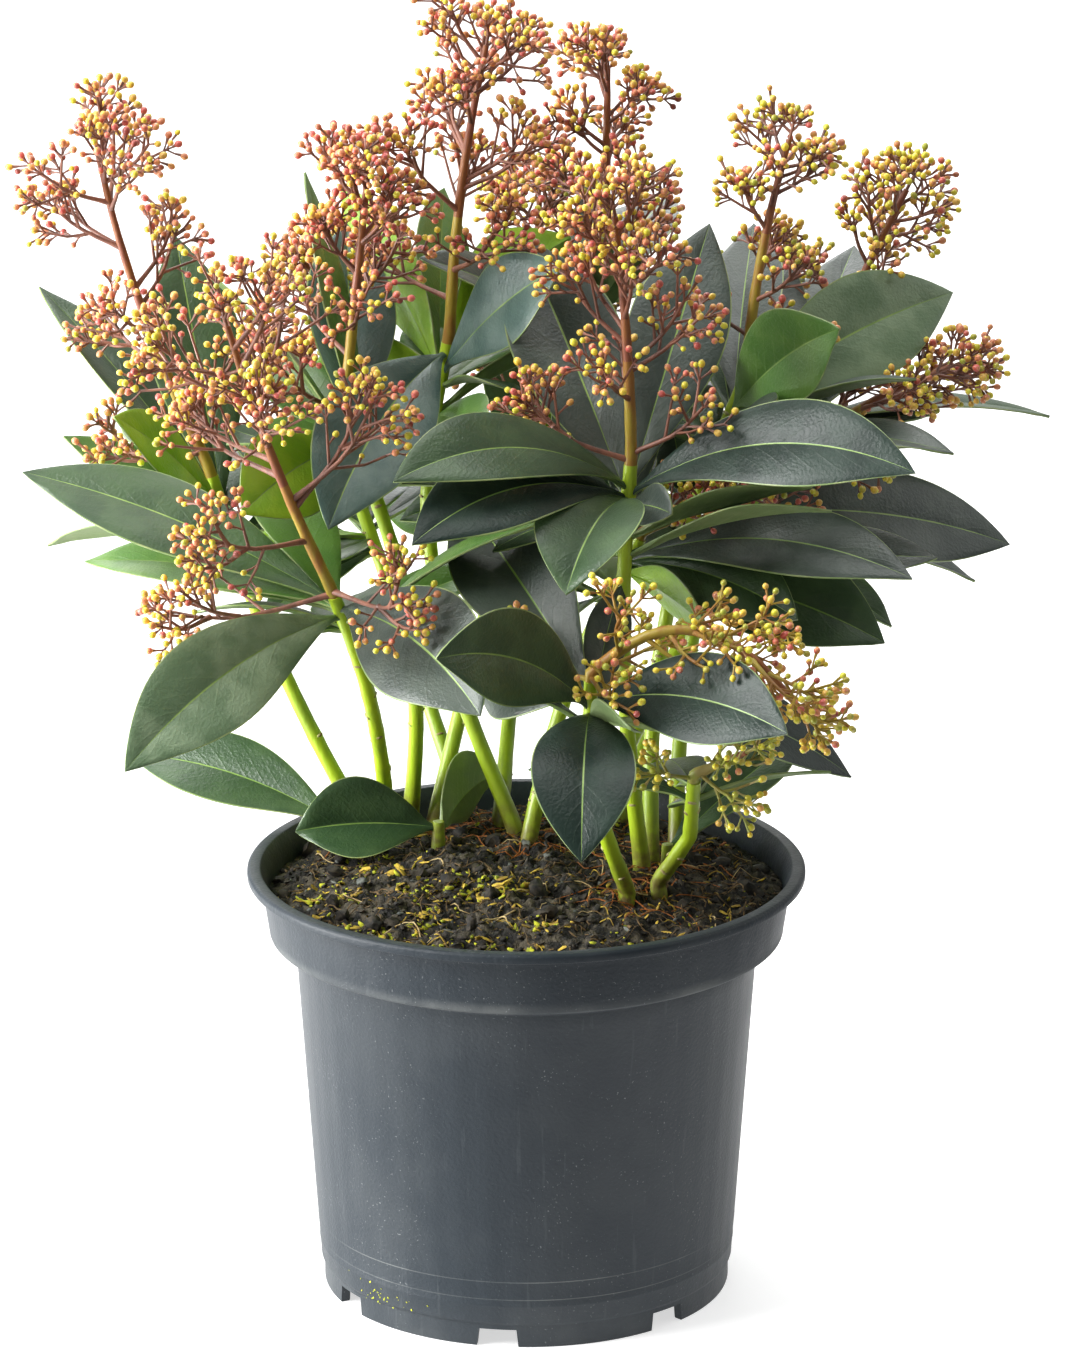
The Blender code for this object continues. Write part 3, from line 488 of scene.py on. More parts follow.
class Growth:
    """One shoot worked out: the lines of its stem, whorl and panicle, then its leaves and branches."""

    def __init__(self, shoot: Shoot) -> None:
        """Lay out the shoot's lines from foot to tip.

        Args:
            shoot: The shoot to work out.
        """
        self.shoot = shoot
        self.name, self.table = shoot.name, shoot.leaves
        foot = footing(shoot.foot, STEM_ROOT_RADIUS)
        crown = Vector(shoot.crown)
        control = (foot + crown) / 2 + 2 * Vector(shoot.bow)
        self.lead = (crown - control).normalized()
        neck = crown - self.lead * WHORL_LENGTH
        self.crown = crown
        rise = foot + STEM_START * UP
        top = neck - self.lead * STEM_END
        bow = (control - (rise + top) / 2) / 2
        self.stem = [foot] + arc_points(rise, top, bow, STEM_STEPS) + [neck - self.lead * GAP]
        self.whorl = [neck, neck + self.lead * WHORL_LENGTH / 2, crown]
        start = crown + self.lead * GAP
        tip = Vector(shoot.bloom.tip)
        self.axis = [start] + arc_points(start + self.lead * AXIS_START, tip, shoot.bloom.bow, AXIS_STEPS)
        self.leaves: list[tuple[Vector, Leaf, BVHTree]] = []
        self.branches: list[tuple[Vector, Vector, Vector, float]] = []

    def claim(self, plot: Plot) -> None:
        """Put the stem, the stretch that carries leaves and the panicle's axis on the plot."""
        stem = tapered(STEM_ROOT_RADIUS, STEM_TIP_RADIUS, len(self.stem))
        stem[0] += ROOT_FLARE
        whorl = [STEM_TIP_RADIUS, (STEM_TIP_RADIUS + WHORL_TOP_RADIUS) / 2, WHORL_TOP_RADIUS]
        axis = tapered(WHORL_TOP_RADIUS, AXIS_TIP_RADIUS, len(self.axis))
        plot.add("stem_" + self.name, limb_body(self.stem, stem))
        plot.add("leaves_" + self.name, limb_body(self.whorl, whorl))
        plot.add("flowers_" + self.name, limb_body(self.axis, axis))

    def add_leaf(self, plot: Plot, leaf: Leaf, strict: bool) -> bool:
        """Place a leaf, turned aside a little if something is in its way.

        Args:
            plot: What stands already.
            leaf: The leaf that is wanted.
            strict: Whether the leaf also has to keep clear of the blades of its own whorl.

        Returns:
            Whether the leaf fits.
        """
        owner = "leaves_" + self.name
        low = LEAF_STEP * len(self.leaves) + LEAF_START
        for turn, rise in NUDGES:
            tried = Leaf(leaf.turn + turn, leaf.rise + rise, leaf.length, leaf.width, leaf.droop, leaf.roll)
            way = heading(tried.turn, tried.rise)
            steep = max(0.0, way.dot(self.lead)) / (way.cross(self.lead).length + 0.1)
            drop = min(WHORL_LENGTH - LEAF_END, low + LEAF_CLEAR * steep)
            root = self.crown - self.lead * drop + square_part(way, self.lead) * LEAF_SINK
            if not plot.is_clear(owner, leaf_body(root, tried, CLEAR)):
                continue
            blade = leaf_body(root, tried, 0.0, BLADE_START).tree()
            if strict and any(blade.overlap(other) for _, _, other in self.leaves):
                continue
            self.leaves.append((root, tried, blade))
            plot.add(owner, leaf_body(root, tried))
            return True
        return False

    def fill_whorl(self, plot: Plot, filler: Filler, wanted: int) -> None:
        """Try a filler's leaves in the whorl until as many as wanted have found room."""
        rng = Random(f"{self.name} {filler.tag}")
        for _ in range(wanted * filler.tries):
            if wanted and self.add_leaf(plot, filler.draw(rng), True):
                wanted -= 1

    def add_lower_leaves(self, plot: Plot) -> None:
        """Put leaves on the stem below the whorl where there is still room."""
        rng = Random(f"{self.name} {LOWER.tag}")
        wanted = LOWER_LEAVES
        for _ in range(wanted * LOWER.tries):
            place, along = point_on(self.stem, rng.uniform(*LOWER_SHARES))
            leaf = LOWER.draw(rng)
            root = place + square_part(heading(leaf.turn, leaf.rise), along) * LEAF_SINK
            blade = leaf_body(root, leaf, CLEAR, BLADE_START)
            if not wanted or not plot.is_clear("", blade):
                continue
            self.leaves.append((root, leaf, blade.tree()))
            plot.add("lower_" + self.name, blade)
            wanted -= 1

    def plan_branches(self) -> list[tuple[Vector, Vector, Vector]]:
        """Where each branch of the panicle starts, bends and ends, from the lowest to the top."""
        bloom = self.shoot.bloom
        rng = Random(self.name + " branches")
        plans = []
        for i in range(bloom.branches):
            share = i / (bloom.branches - 1)
            at, along = point_on(self.axis, bloom.first + (1 - bloom.first) * 0.93 * share)
            _, bend, end = bough_path(
                at, along,
                bloom.turn + GOLDEN_TURN * i + rng.uniform(-15, 15),
                radians(70 - 27 * share + rng.uniform(-8, 8)),
                sin(radians(bloom.droop)) * (1 - share),
                (bloom.reach - TWIG_LENGTH * 0.4) * (1.15 - 0.5 * share) * rng.uniform(0.9, 1.15))
            plans.append((at, bend, end))
        top, along = point_on(self.axis, 1.0)
        plans.append((top - along * 2.0, top + along * 1.0, top + along * 5.0))
        return plans

    def add_branches(self, plot: Plot) -> None:
        """Place the panicle's branches and the twig on each, and skip what would touch."""
        owner = "flowers_" + self.name
        rng = Random(self.name + " twigs")
        for at, bend, end in self.plan_branches():
            if not plot.is_clear(owner, bud_body(at, bend, end, BRANCH_RADIUS, CLEAR)):
                bend, end = at + (bend - at) * SHORTENED, at + (end - at) * SHORTENED
            if not plot.is_clear(owner, bud_body(at, bend, end, BRANCH_RADIUS, CLEAR)):
                continue
            self.branches.append((at, bend, end, BRANCH_RADIUS))
            along = (end - bend).normalized()
            aside = sideways(along, radians(rng.uniform(0, 360) + rng.uniform(-25, 25)))
            start = bend + (end - bend) * rng.uniform(0.25, 0.6)
            way = (aside + along * rng.uniform(0.5, 1.0)).normalized()
            way *= TWIG_LENGTH * rng.uniform(0.85, 1.25)
            twig = (start, start + way * 0.5, start + way, TWIG_RADIUS)
            if plot.is_clear(owner, bud_body(*twig, CLEAR)):
                self.branches.append(twig)
        for branch in self.branches:
            plot.add(owner, bud_body(*branch))


class LowGrowth:
    """A short shoot at the peat with its few old leaves."""

    def __init__(self, name: str, foot: tuple[float, float], leaves: tuple[Leaf, ...], plot: Plot) -> None:
        """Place the shoot and each of its leaves that fits.

        Args:
            name: The shoot's name.
            foot: Where it stands in the pot.
            leaves: Its leaves.
            plot: What stands already.
        """
        self.name = name
        self.table = leaves
        base = footing(foot, LOW_SHOOT_RADIUS)
        self.twig = [base, base + LOW_SHOOT_HEIGHT * UP]
        self.leaves: list[tuple[Vector, Leaf, None]] = []
        for leaf in leaves:
            height = LOW_SHOOT_HEIGHT - LOW_LEAF_STEP - LOW_LEAF_STEP * len(self.leaves)
            root = base + height * UP + heading(leaf.turn, 0) * 0.5
            if plot.is_clear("leaves_" + name, leaf_body(root, leaf, CLEAR)):
                self.leaves.append((root, leaf, None))
                plot.add("leaves_" + name, leaf_body(root, leaf))


def grow() -> tuple[list[Growth], list[LowGrowth]]:
    """Work out every shoot in turn, so that later pieces keep clear of earlier ones.

    Returns:
        The shoots, and the short shoots at the peat.
    """
    plot = Plot()
    growths = [Growth(shoot) for shoot in SHOOTS]
    for growth in growths:
        growth.claim(plot)
    for growth in growths:
        for leaf in growth.shoot.leaves:
            if not growth.add_leaf(plot, leaf, True):
                growth.add_leaf(plot, leaf, False)
    low_growths = [LowGrowth(name, foot, leaves, plot) for name, foot, leaves in LOW_SHOOTS]
    for growth in growths:
        growth.fill_whorl(plot, SPARE, growth.shoot.spare)
    for growth in growths:
        growth.add_branches(plot)
    for growth in growths:
        growth.fill_whorl(plot, SMALL, SMALL_LEAVES)
    for growth in growths:
        if growth.crown.z > LOWER_LEAVES_FROM:
            growth.add_lower_leaves(plot)
    return growths, low_growths


# ---- shapes made once and copied ----
@dataclass
class Stamp:
    """A small closed shape, made once with bmesh operators and copied many times."""

    verts: np.ndarray
    faces: list[tuple[int, ...]]
    slots: np.ndarray

    @classmethod
    def of(cls, work: bmesh.types.BMesh) -> "Stamp":
        """Stamp with a bmesh's points, faces and material slots; the bmesh is freed."""
        work.verts.index_update()
        verts = np.array([vert.co[:] for vert in work.verts])
        faces = [tuple(vert.index for vert in face.verts) for face in work.faces]
        slots = np.array([face.material_index for face in work.faces], np.int32)
        work.free()
        return cls(verts, faces, slots)


class Heap:
    """Copies of stamps, gathered as arrays and joined to one piece."""

    def __init__(self) -> None:
        """Start empty."""
        self.points, self.loops, self.sizes, self.slots, self.uvs = [], [], [], [], []
        self.count = 0

    def add(self, stamp: Stamp, points: np.ndarray, slots: np.ndarray | Enum,
            uv: np.ndarray | None = None) -> None:
        """Add one copy of a stamp.

        Args:
            stamp: The shape.
            points: Where its points go, in mm.
            slots: Material slot of each face, or the one material of all.
            uv: Two numbers for each point, for a pattern that follows the surface.
        """
        flat = np.fromiter((i for face in stamp.faces for i in face), np.int64)
        if isinstance(slots, Enum):
            slots = np.full(len(stamp.faces), slots.value, np.int32)
        self.loops.append(flat + self.count)
        self.sizes.append(np.fromiter((len(face) for face in stamp.faces), np.int64))
        self.slots.append(slots)
        self.points.append(points)
        if uv is not None:
            self.uvs.append(uv[flat])
        self.count += len(points)

    def join(self, other: "Heap") -> None:
        """Take in the shapes of another heap, without their materials."""
        self.points += other.points
        self.loops += [loop + self.count for loop in other.loops]
        self.sizes += other.sizes
        self.count += other.count

    def build(self, name: str, finishes: list[Material], sharp: float = 180.0) -> Object:
        """Join the copies to one smooth-shaded object.

        Args:
            name: The piece's name.
            finishes: Its materials, in the order of the slots.
            sharp: Angle in degrees past which an edge stays sharp.

        Returns:
            The new object.
        """
        mesh = bpy.data.meshes.new(name)
        points = np.concatenate(self.points) * MM
        loops = np.concatenate(self.loops)
        sizes = np.concatenate(self.sizes)
        mesh.vertices.add(len(points))
        mesh.vertices.foreach_set("co", points.astype(np.float32).ravel())
        mesh.loops.add(len(loops))
        mesh.loops.foreach_set("vertex_index", loops.astype(np.int32))
        mesh.polygons.add(len(sizes))
        mesh.polygons.foreach_set("loop_start", (np.cumsum(sizes) - sizes).astype(np.int32))
        mesh.polygons.foreach_set("material_index", np.concatenate(self.slots).astype(np.int32))
        if self.uvs:
            layer = mesh.uv_layers.new(name="surface")
            layer.data.foreach_set("uv", np.concatenate(self.uvs).astype(np.float32).ravel())
        mesh.update(calc_edges=True)
        mesh.shade_smooth()
        if sharp < 180.0:
            mesh.set_sharp_from_angle(angle=radians(sharp))
        for finish in finishes:
            mesh.materials.append(finish)
        return link(name, mesh)

    def tree(self) -> BVHTree:
        """Search tree of everything in the heap, in mm."""
        points = np.concatenate(self.points).tolist()
        faces, start = [], 0
        flat = np.concatenate(self.loops).tolist()
        for size in np.concatenate(self.sizes).tolist():
            faces.append(flat[start:start + size])
            start += size
        return BVHTree.FromPolygons(points, faces)


def link(name: str, data: bpy.types.ID) -> Object:
    """Object of a mesh, lamp or camera, linked to the scene."""
    made = bpy.data.objects.new(name, data)
    bpy.context.scene.collection.objects.link(made)
    return made


def settle(piece: Object, slot: str, *nodes: str) -> None:
    """Let a piece ride on the plant's only body and stand for some CAD nodes."""
    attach(piece, "root")
    if nodes:
        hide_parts(*nodes)
    log.info("%s: %d faces, replaces %s", piece.name, len(piece.data.polygons), ", ".join(nodes) or "nothing")


@cache
def tube_stamp(sides: int, segments: int) -> Stamp:
    """Upright cylinder of radius 1 from 0 to 1, cut across into segments."""
    work = bmesh.new()
    bmesh.ops.create_cone(work, cap_ends=True, segments=sides, radius1=1.0, radius2=1.0, depth=1.0)
    upright = [edge for edge in work.edges if abs(edge.verts[0].co.z - edge.verts[1].co.z) > 0.5]
    bmesh.ops.subdivide_edges(work, edges=upright, cuts=segments - 1)
    bmesh.ops.translate(work, vec=(0.0, 0.0, 0.5), verts=work.verts)
    return Stamp.of(work)


# The faces of a bud that differ in colour.
BudPart = Enum("BudPart", "SIDE BASE TIP", start=0)


@cache
def bud_stamp() -> Stamp:
    """Pear-shaped bud, 2 across and 2 long, with its faces marked by BudPart."""
    work = bmesh.new()
    bmesh.ops.create_uvsphere(work, u_segments=8, v_segments=5, radius=1.0)
    for vert in work.verts:
        z = vert.co.z
        slim = 1.0 + 0.22 * z if z < 0 else 1.0 - 0.05 * z * z
        vert.co.x *= slim
        vert.co.y *= slim
        if z > 0.98:
            vert.co.z += 0.06
    for face in work.faces:
        height = face.calc_center_median().z
        part = BudPart.BASE if height < -0.8 else BudPart.TIP if height > 0.75 else BudPart.SIDE
        face.material_index = part.value
    return Stamp.of(work)


@cache
def pebble_stamp(seed: int, rough: float, detail: int = 1) -> Stamp:
    """Lump of radius 1: a ball of some detail whose points are pushed in or out, by a seed."""
    rng = Random(seed)
    work = bmesh.new()
    bmesh.ops.create_icosphere(work, subdivisions=detail, radius=1.0)
    for vert in work.verts:
        vert.co *= 1.0 + rng.uniform(-rough, rough)
    return Stamp.of(work)


LEAF_COLUMNS = (-1.0, -0.975, -0.70, -0.38, -0.07, -0.017, 0.017, 0.07, 0.38, 0.70, 0.975, 1.0)
LEAF_ROWS = 28


# The faces of a leaf that differ in colour.
LeafPart = Enum("LeafPart", "BLADE BELOW RIB MARGIN", start=0)


@cache
def leaf_stamp() -> Stamp:
    """Flat leaf grid with a wall: x shares the half width and y the length, z is 0 above and -1 below."""
    work = bmesh.new()
    bmesh.ops.create_grid(work, x_segments=len(LEAF_COLUMNS) - 1, y_segments=LEAF_ROWS, size=0.5)
    for vert in work.verts:
        column = round((vert.co.x + 0.5) * (len(LEAF_COLUMNS) - 1))
        vert.co = Vector((LEAF_COLUMNS[column], vert.co.y + 0.5, 0.0))
    bmesh.ops.solidify(work, geom=work.faces[:], thickness=1.0)
    work.normal_update()
    rib, margin = LEAF_COLUMNS[6], LEAF_COLUMNS[-2]
    for face in work.faces:
        place = abs(face.calc_center_median().x)
        part = LeafPart.BLADE if face.normal.z > 0.5 else LeafPart.BELOW
        if place > margin or abs(face.normal.z) < 0.5:
            part = LeafPart.MARGIN
        elif place < rib:
            part = LeafPart.RIB
        face.material_index = part.value
    return Stamp.of(work)


def bend_along(stamp: Stamp, centres: list[Vector], radii: list[float]) -> np.ndarray:
    """Lay a tube stamp along a line of points.

    Args:
        stamp: A tube of one segment fewer than there are points.
        centres: The line's points.
        radii: Radius at each of them.

    Returns:
        The tube's points.
    """
    line = np.array([tuple(centre) for centre in centres])
    along = np.gradient(line, axis=0)
    along /= np.linalg.norm(along, axis=1)[:, None]
    side = np.array(tuple(Vector(along[0]).orthogonal().normalized()))
    sides, others = [], []
    for direction in along:
        side = side - direction * np.dot(side, direction)
        side /= np.linalg.norm(side)
        sides.append(side)
        others.append(np.cross(direction, side))
    station = np.rint(stamp.verts[:, 2] * (len(centres) - 1)).astype(int)
    out = np.array(radii)[station][:, None]
    return (line[station] + out * stamp.verts[:, :1] * np.array(sides)[station]
            + out * stamp.verts[:, 1:2] * np.array(others)[station])


def stand_at(stamp: Stamp, centre: Vector, up: Vector, size: Triple, spin: float = 0.0) -> np.ndarray:
    """Points of a stamp scaled, turned by spin with its z along up, and moved to a place."""
    turned = sideways(up, spin)
    basis = np.array([tuple(turned), tuple(up.cross(turned)), tuple(up)])
    return stamp.verts * np.array(size) @ basis + np.array(tuple(centre))


def smooth_line(points: list[Vector], steps: int) -> list[Vector]:
    """Evenly spaced points on a Catmull-Rom curve through a few points.

    Args:
        points: The points that the curve goes through.
        steps: How many pieces the result has.

    Returns:
        The curve's points, one more than the pieces.
    """
    ends = [2 * points[0] - points[1]] + list(points) + [2 * points[-1] - points[-2]]
    fine = []
    for i in range(len(points) - 1):
        a, b, c, d = ends[i:i + 4]
        for k in range(12):
            t = k / 12
            fine.append(0.5 * (2 * b + (c - a) * t + (2 * a - 5 * b + 4 * c - d) * t * t
                               + (3 * b - a - 3 * c + d) * t ** 3))
    fine.append(points[-1])
    lengths = [0.0]
    for one, two in zip(fine, fine[1:]):
        lengths.append(lengths[-1] + (two - one).length)
    result, j = [], 0
    for step in range(steps + 1):
        want = lengths[-1] * step / steps
        while j < len(fine) - 2 and lengths[j + 1] < want:
            j += 1
        span = lengths[j + 1] - lengths[j]
        share = min(1.0, (want - lengths[j]) / span) if span > 1e-9 else 0.0
        result.append(fine[j].lerp(fine[j + 1], share))
    return result


# ---- shader groups ----
class Wiring:
    """Short hand for the nodes of a material or a group."""

    def __init__(self, tree: bpy.types.NodeTree) -> None:
        """Work on a node tree."""
        self.tree = tree

    def feed(self, value: Feed, target: Socket) -> None:
        """Set an input to a value, or link a socket to it."""
        if isinstance(value, Socket):
            self.tree.links.new(value, target)
        else:
            target.default_value = value

    def add(self, kind: str, **values: object) -> Node:
        """Add a node.

        Args:
            kind: Its type.
            values: Its properties by name, and its inputs by name or number after in_, with _ for a space.

        Returns:
            The node.
        """
        node = self.tree.nodes.new(kind)
        for key, value in values.items():
            if key.startswith("in_"):
                spot = key[3:]
                self.feed(value, node.inputs[int(spot) if spot.isdigit() else spot.replace("_", " ")])
            else:
                setattr(node, key, value)
        return node

    def maths(self, operation: str, *values: Feed) -> Socket:
        """Value of an operation on numbers or sockets."""
        node = self.add("ShaderNodeMath", operation=operation)
        for spot, value in enumerate(values):
            self.feed(value, node.inputs[spot])
        return node.outputs[0]

    def times(self, first: Feed, second: Feed) -> Socket:
        """Product of two values."""
        return self.maths("MULTIPLY", first, second)

    def rest(self, share: Feed) -> Socket:
        """What a share leaves of 1."""
        return self.maths("SUBTRACT", 1.0, share)

    def axes(self, source: str = "Object") -> bpy.types.NodeOutputs:
        """X, Y and Z of a texture coordinate."""
        place = self.add("ShaderNodeTexCoord").outputs[source]
        return self.add("ShaderNodeSeparateXYZ", in_0=place).outputs

    def ramp(self, value: Feed, low: Feed, high: Feed) -> Socket:
        """Share that rises smoothly from 0 to 1 while a value goes from low to high."""
        return self.add("ShaderNodeMapRange", interpolation_type="SMOOTHSTEP", in_0=value, in_1=low,
                        in_2=high).outputs["Result"]

    def blend(self, share: Feed, first: Feed, second: Feed) -> Socket:
        """Colour between two colours or sockets, by the share of the second."""
        first, second = (value if isinstance(value, Socket) else (*value, 1.0)
                         for value in (first, second))
        mix = self.add("ShaderNodeMix", data_type="RGBA", in_Factor=share, in_6=first, in_7=second)
        return mix.outputs[2]

    def use(self, group: bpy.types.NodeTree, **values: float) -> Socket:
        """Output of a placed group; values are numbers for its inputs."""
        given = {f"in_{label}": value for label, value in values.items()}
        return self.add("ShaderNodeGroup", node_tree=group, **given).outputs[0]

    def mottle(self, **values: float) -> Socket:
        """Share of cloudy patches."""
        return self.use(mottle_group(), **values)

    def height(self, low: float, high: float) -> Socket:
        """Share that rises between two heights in metres."""
        return self.use(height_group(), Low=low, High=high)


def new_group(name: str, inputs: dict[str, float],
              kind: str = "Float") -> tuple[Wiring, dict, Socket]:
    """Start a shader group with one output.

    Args:
        name: The group's name.
        inputs: Its number inputs and their defaults.
        kind: Type of its output.

    Returns:
        The wiring, the sockets that give the inputs, and the one that takes the output.
    """
    tree = bpy.data.node_groups.new(name, "ShaderNodeTree")
    for label, value in inputs.items():
        socket = tree.interface.new_socket(name=label, in_out="INPUT", socket_type="NodeSocketFloat")
        socket.default_value = value
    label = "Normal" if kind == "Vector" else "Share"
    tree.interface.new_socket(name=label, in_out="OUTPUT", socket_type="NodeSocket" + kind)
    wiring = Wiring(tree)
    given = {s.name: s for s in wiring.add("NodeGroupInput").outputs}
    return wiring, given, wiring.add("NodeGroupOutput").inputs[0]


def cloud_noise(wiring: Wiring, given: dict, detail: Feed) -> Socket:
    """Noise on object coordinates, with the Scale and the upright Stretch of a group's inputs."""
    place = wiring.add("ShaderNodeTexCoord").outputs["Object"]
    longer = wiring.add("ShaderNodeCombineXYZ", in_0=1.0, in_1=1.0, in_2=given["Stretch"]).outputs[0]
    mapping = wiring.add("ShaderNodeMapping", in_Vector=place, in_Scale=longer).outputs[0]
    cloud = wiring.add("ShaderNodeTexNoise", in_Vector=mapping, in_Scale=given["Scale"], in_Detail=detail)
    return cloud.outputs["Fac"]


@cache
def mottle_group() -> bpy.types.NodeTree:
    """Cloudy patches: a share from 0 to 1 that rises between two levels of a noise on object coordinates."""
    wiring, given, share = new_group(
        "Mottle", {"Scale": 60.0, "Detail": 4.0, "Low": 0.4, "High": 0.6, "Stretch": 1.0})
    cloud = cloud_noise(wiring, given, given["Detail"])
    wiring.feed(wiring.ramp(cloud, given["Low"], given["High"]), share)
    return wiring.tree


@cache
def relief_group() -> bpy.types.NodeTree:
    """Fine uneven surface: a normal from a noise on object coordinates, longer along Z with Stretch."""
    wiring, given, normal = new_group(
        "Relief", {"Scale": 400.0, "Strength": 0.2, "Depth": 0.0005, "Stretch": 1.0}, "Vector")
    bump = wiring.add("ShaderNodeBump", in_Height=cloud_noise(wiring, given, 3.0),
                      in_Strength=given["Strength"], in_Distance=given["Depth"])
    wiring.feed(bump.outputs["Normal"], normal)
    return wiring.tree


@cache
def height_group() -> bpy.types.NodeTree:
    """Share that rises from 0 to 1 between two heights in metres."""
    wiring, given, share = new_group("Height", {"Low": 0.0, "High": 0.1})
    wiring.feed(wiring.ramp(wiring.axes()["Z"], given["Low"], given["High"]), share)
    return wiring.tree


@cache
def vein_group() -> bpy.types.NodeTree:
    """Side veins of a leaf, from its own map: they leave the rib forwards and fade towards the margin."""
    wiring, given, share = new_group("Veins", {"Pairs": 11.0, "Slant": 2.6})
    own = wiring.add("ShaderNodeUVMap", uv_map="surface").outputs["UV"]
    place = wiring.add("ShaderNodeSeparateXYZ", in_0=own).outputs
    away = wiring.maths("ABSOLUTE", wiring.maths("MULTIPLY_ADD", place["X"], 2.0, -1.0))
    along = wiring.times(place["Y"], given["Pairs"])
    count = wiring.maths("SUBTRACT", along, wiring.times(away, given["Slant"]))
    wave = wiring.maths("ABSOLUTE", wiring.maths("SINE", wiring.times(count, pi)))
    thin = wiring.maths("POWER", wiring.rest(wave), 5.0)
    wiring.feed(wiring.times(thin, wiring.rest(away)), share)
    return wiring.tree


# ---- finishes ----
@dataclass(frozen=True)
class Finish:
    """A surface of one colour that clouds into a second, with a fine relief."""

    name: str
    colour: Triple
    cloud: Triple
    roughness: float = 0.5
    coat: float = 0.0
    scale: float = 120.0
    levels: Span = (0.4, 0.62)
    stretch: float = 1.0
    relief_scale: float = 600.0
    relief: float = 0.15
    depth: float = 0.0004
    soft: float = 0.0

    def make(self) -> Material:
        """Build the material."""
        made = bpy.data.materials.new(self.name)
        made.use_nodes = True
        shader = made.node_tree.nodes["Principled BSDF"]
        wanted = {"Roughness": self.roughness, "Coat Weight": self.coat, "Coat Roughness": 0.25}
        if self.soft:
            wanted |= {"Subsurface Weight": self.soft, "Subsurface Radius": (0.6, 0.4, 0.2),
                       "Subsurface Scale": 0.002}
        for socket, value in wanted.items():
            shader.inputs[socket].default_value = value
        self.dress(Wiring(made.node_tree), shader)
        made.diffuse_color = (*self.colour, 1.0)
        return made

    def dress(self, wiring: Wiring, shader: Node) -> None:
        """Wire the colour and the relief to the shader."""
        wiring.feed(self.tone(wiring), shader.inputs["Base Color"])
        relief = wiring.use(relief_group(), Scale=self.relief_scale, Strength=self.relief, Depth=self.depth,
                            Stretch=self.stretch)
        wiring.feed(relief, shader.inputs["Normal"])

    def press(self, wiring: Wiring, shader: Node, height: Socket) -> None:
        """Press a height into the surface."""
        bump = wiring.add("ShaderNodeBump", in_Strength=self.relief, in_Distance=self.depth, in_Height=height)
        wiring.feed(bump.outputs["Normal"], shader.inputs["Normal"])

    def tone(self, wiring: Wiring) -> Socket:
        """The clouded colour."""
        low, high = self.levels
        cloud = wiring.mottle(Scale=self.scale, Low=low, High=high, Stretch=self.stretch)
        return wiring.blend(cloud, self.colour, self.cloud)


@dataclass(frozen=True)
class BladeFinish(Finish):
    """Leathery leaf surface with faint side veins."""

    vein: Triple = (0.1, 0.2, 0.08)
    vein_share: float = 0.3
    shine: float = 0.5

    def dress(self, wiring: Wiring, shader: Node) -> None:
        """Lay the veins over the clouded colour and press them into the relief."""
        veins = wiring.use(vein_group())
        tone = wiring.blend(wiring.times(veins, self.vein_share), self.tone(wiring), self.vein)
        wiring.feed(tone, shader.inputs["Base Color"])
        grain = wiring.mottle(Scale=self.relief_scale, Low=0.3, High=0.7)
        shader.inputs["Specular IOR Level"].default_value = self.shine
        self.press(wiring, shader, wiring.maths("MULTIPLY_ADD", veins, -0.5, wiring.times(grain, 0.5)))
        sheen = wiring.mottle(Scale=45.0, Low=0.3, High=0.7)
        rough = wiring.maths("MULTIPLY_ADD", sheen, 0.12, self.roughness - 0.05)
        wiring.feed(rough, shader.inputs["Roughness"])


@dataclass(frozen=True)
class BarkFinish(Finish):
    """Green bark that browns towards the peat."""

    foot: Triple = (0.14, 0.1, 0.03)
    foot_low: float = 0.130
    foot_high: float = 0.152

    def tone(self, wiring: Wiring) -> Socket:
        """Green above, browner and patchy near the peat."""
        green = super().tone(wiring)
        patch = wiring.mottle(Scale=260.0, Low=0.35, High=0.6)
        low = wiring.rest(wiring.height(self.foot_low, self.foot_high))
        brown = wiring.times(low, wiring.maths("MULTIPLY_ADD", patch, 0.5, 0.5))
        return wiring.blend(brown, green, self.foot)


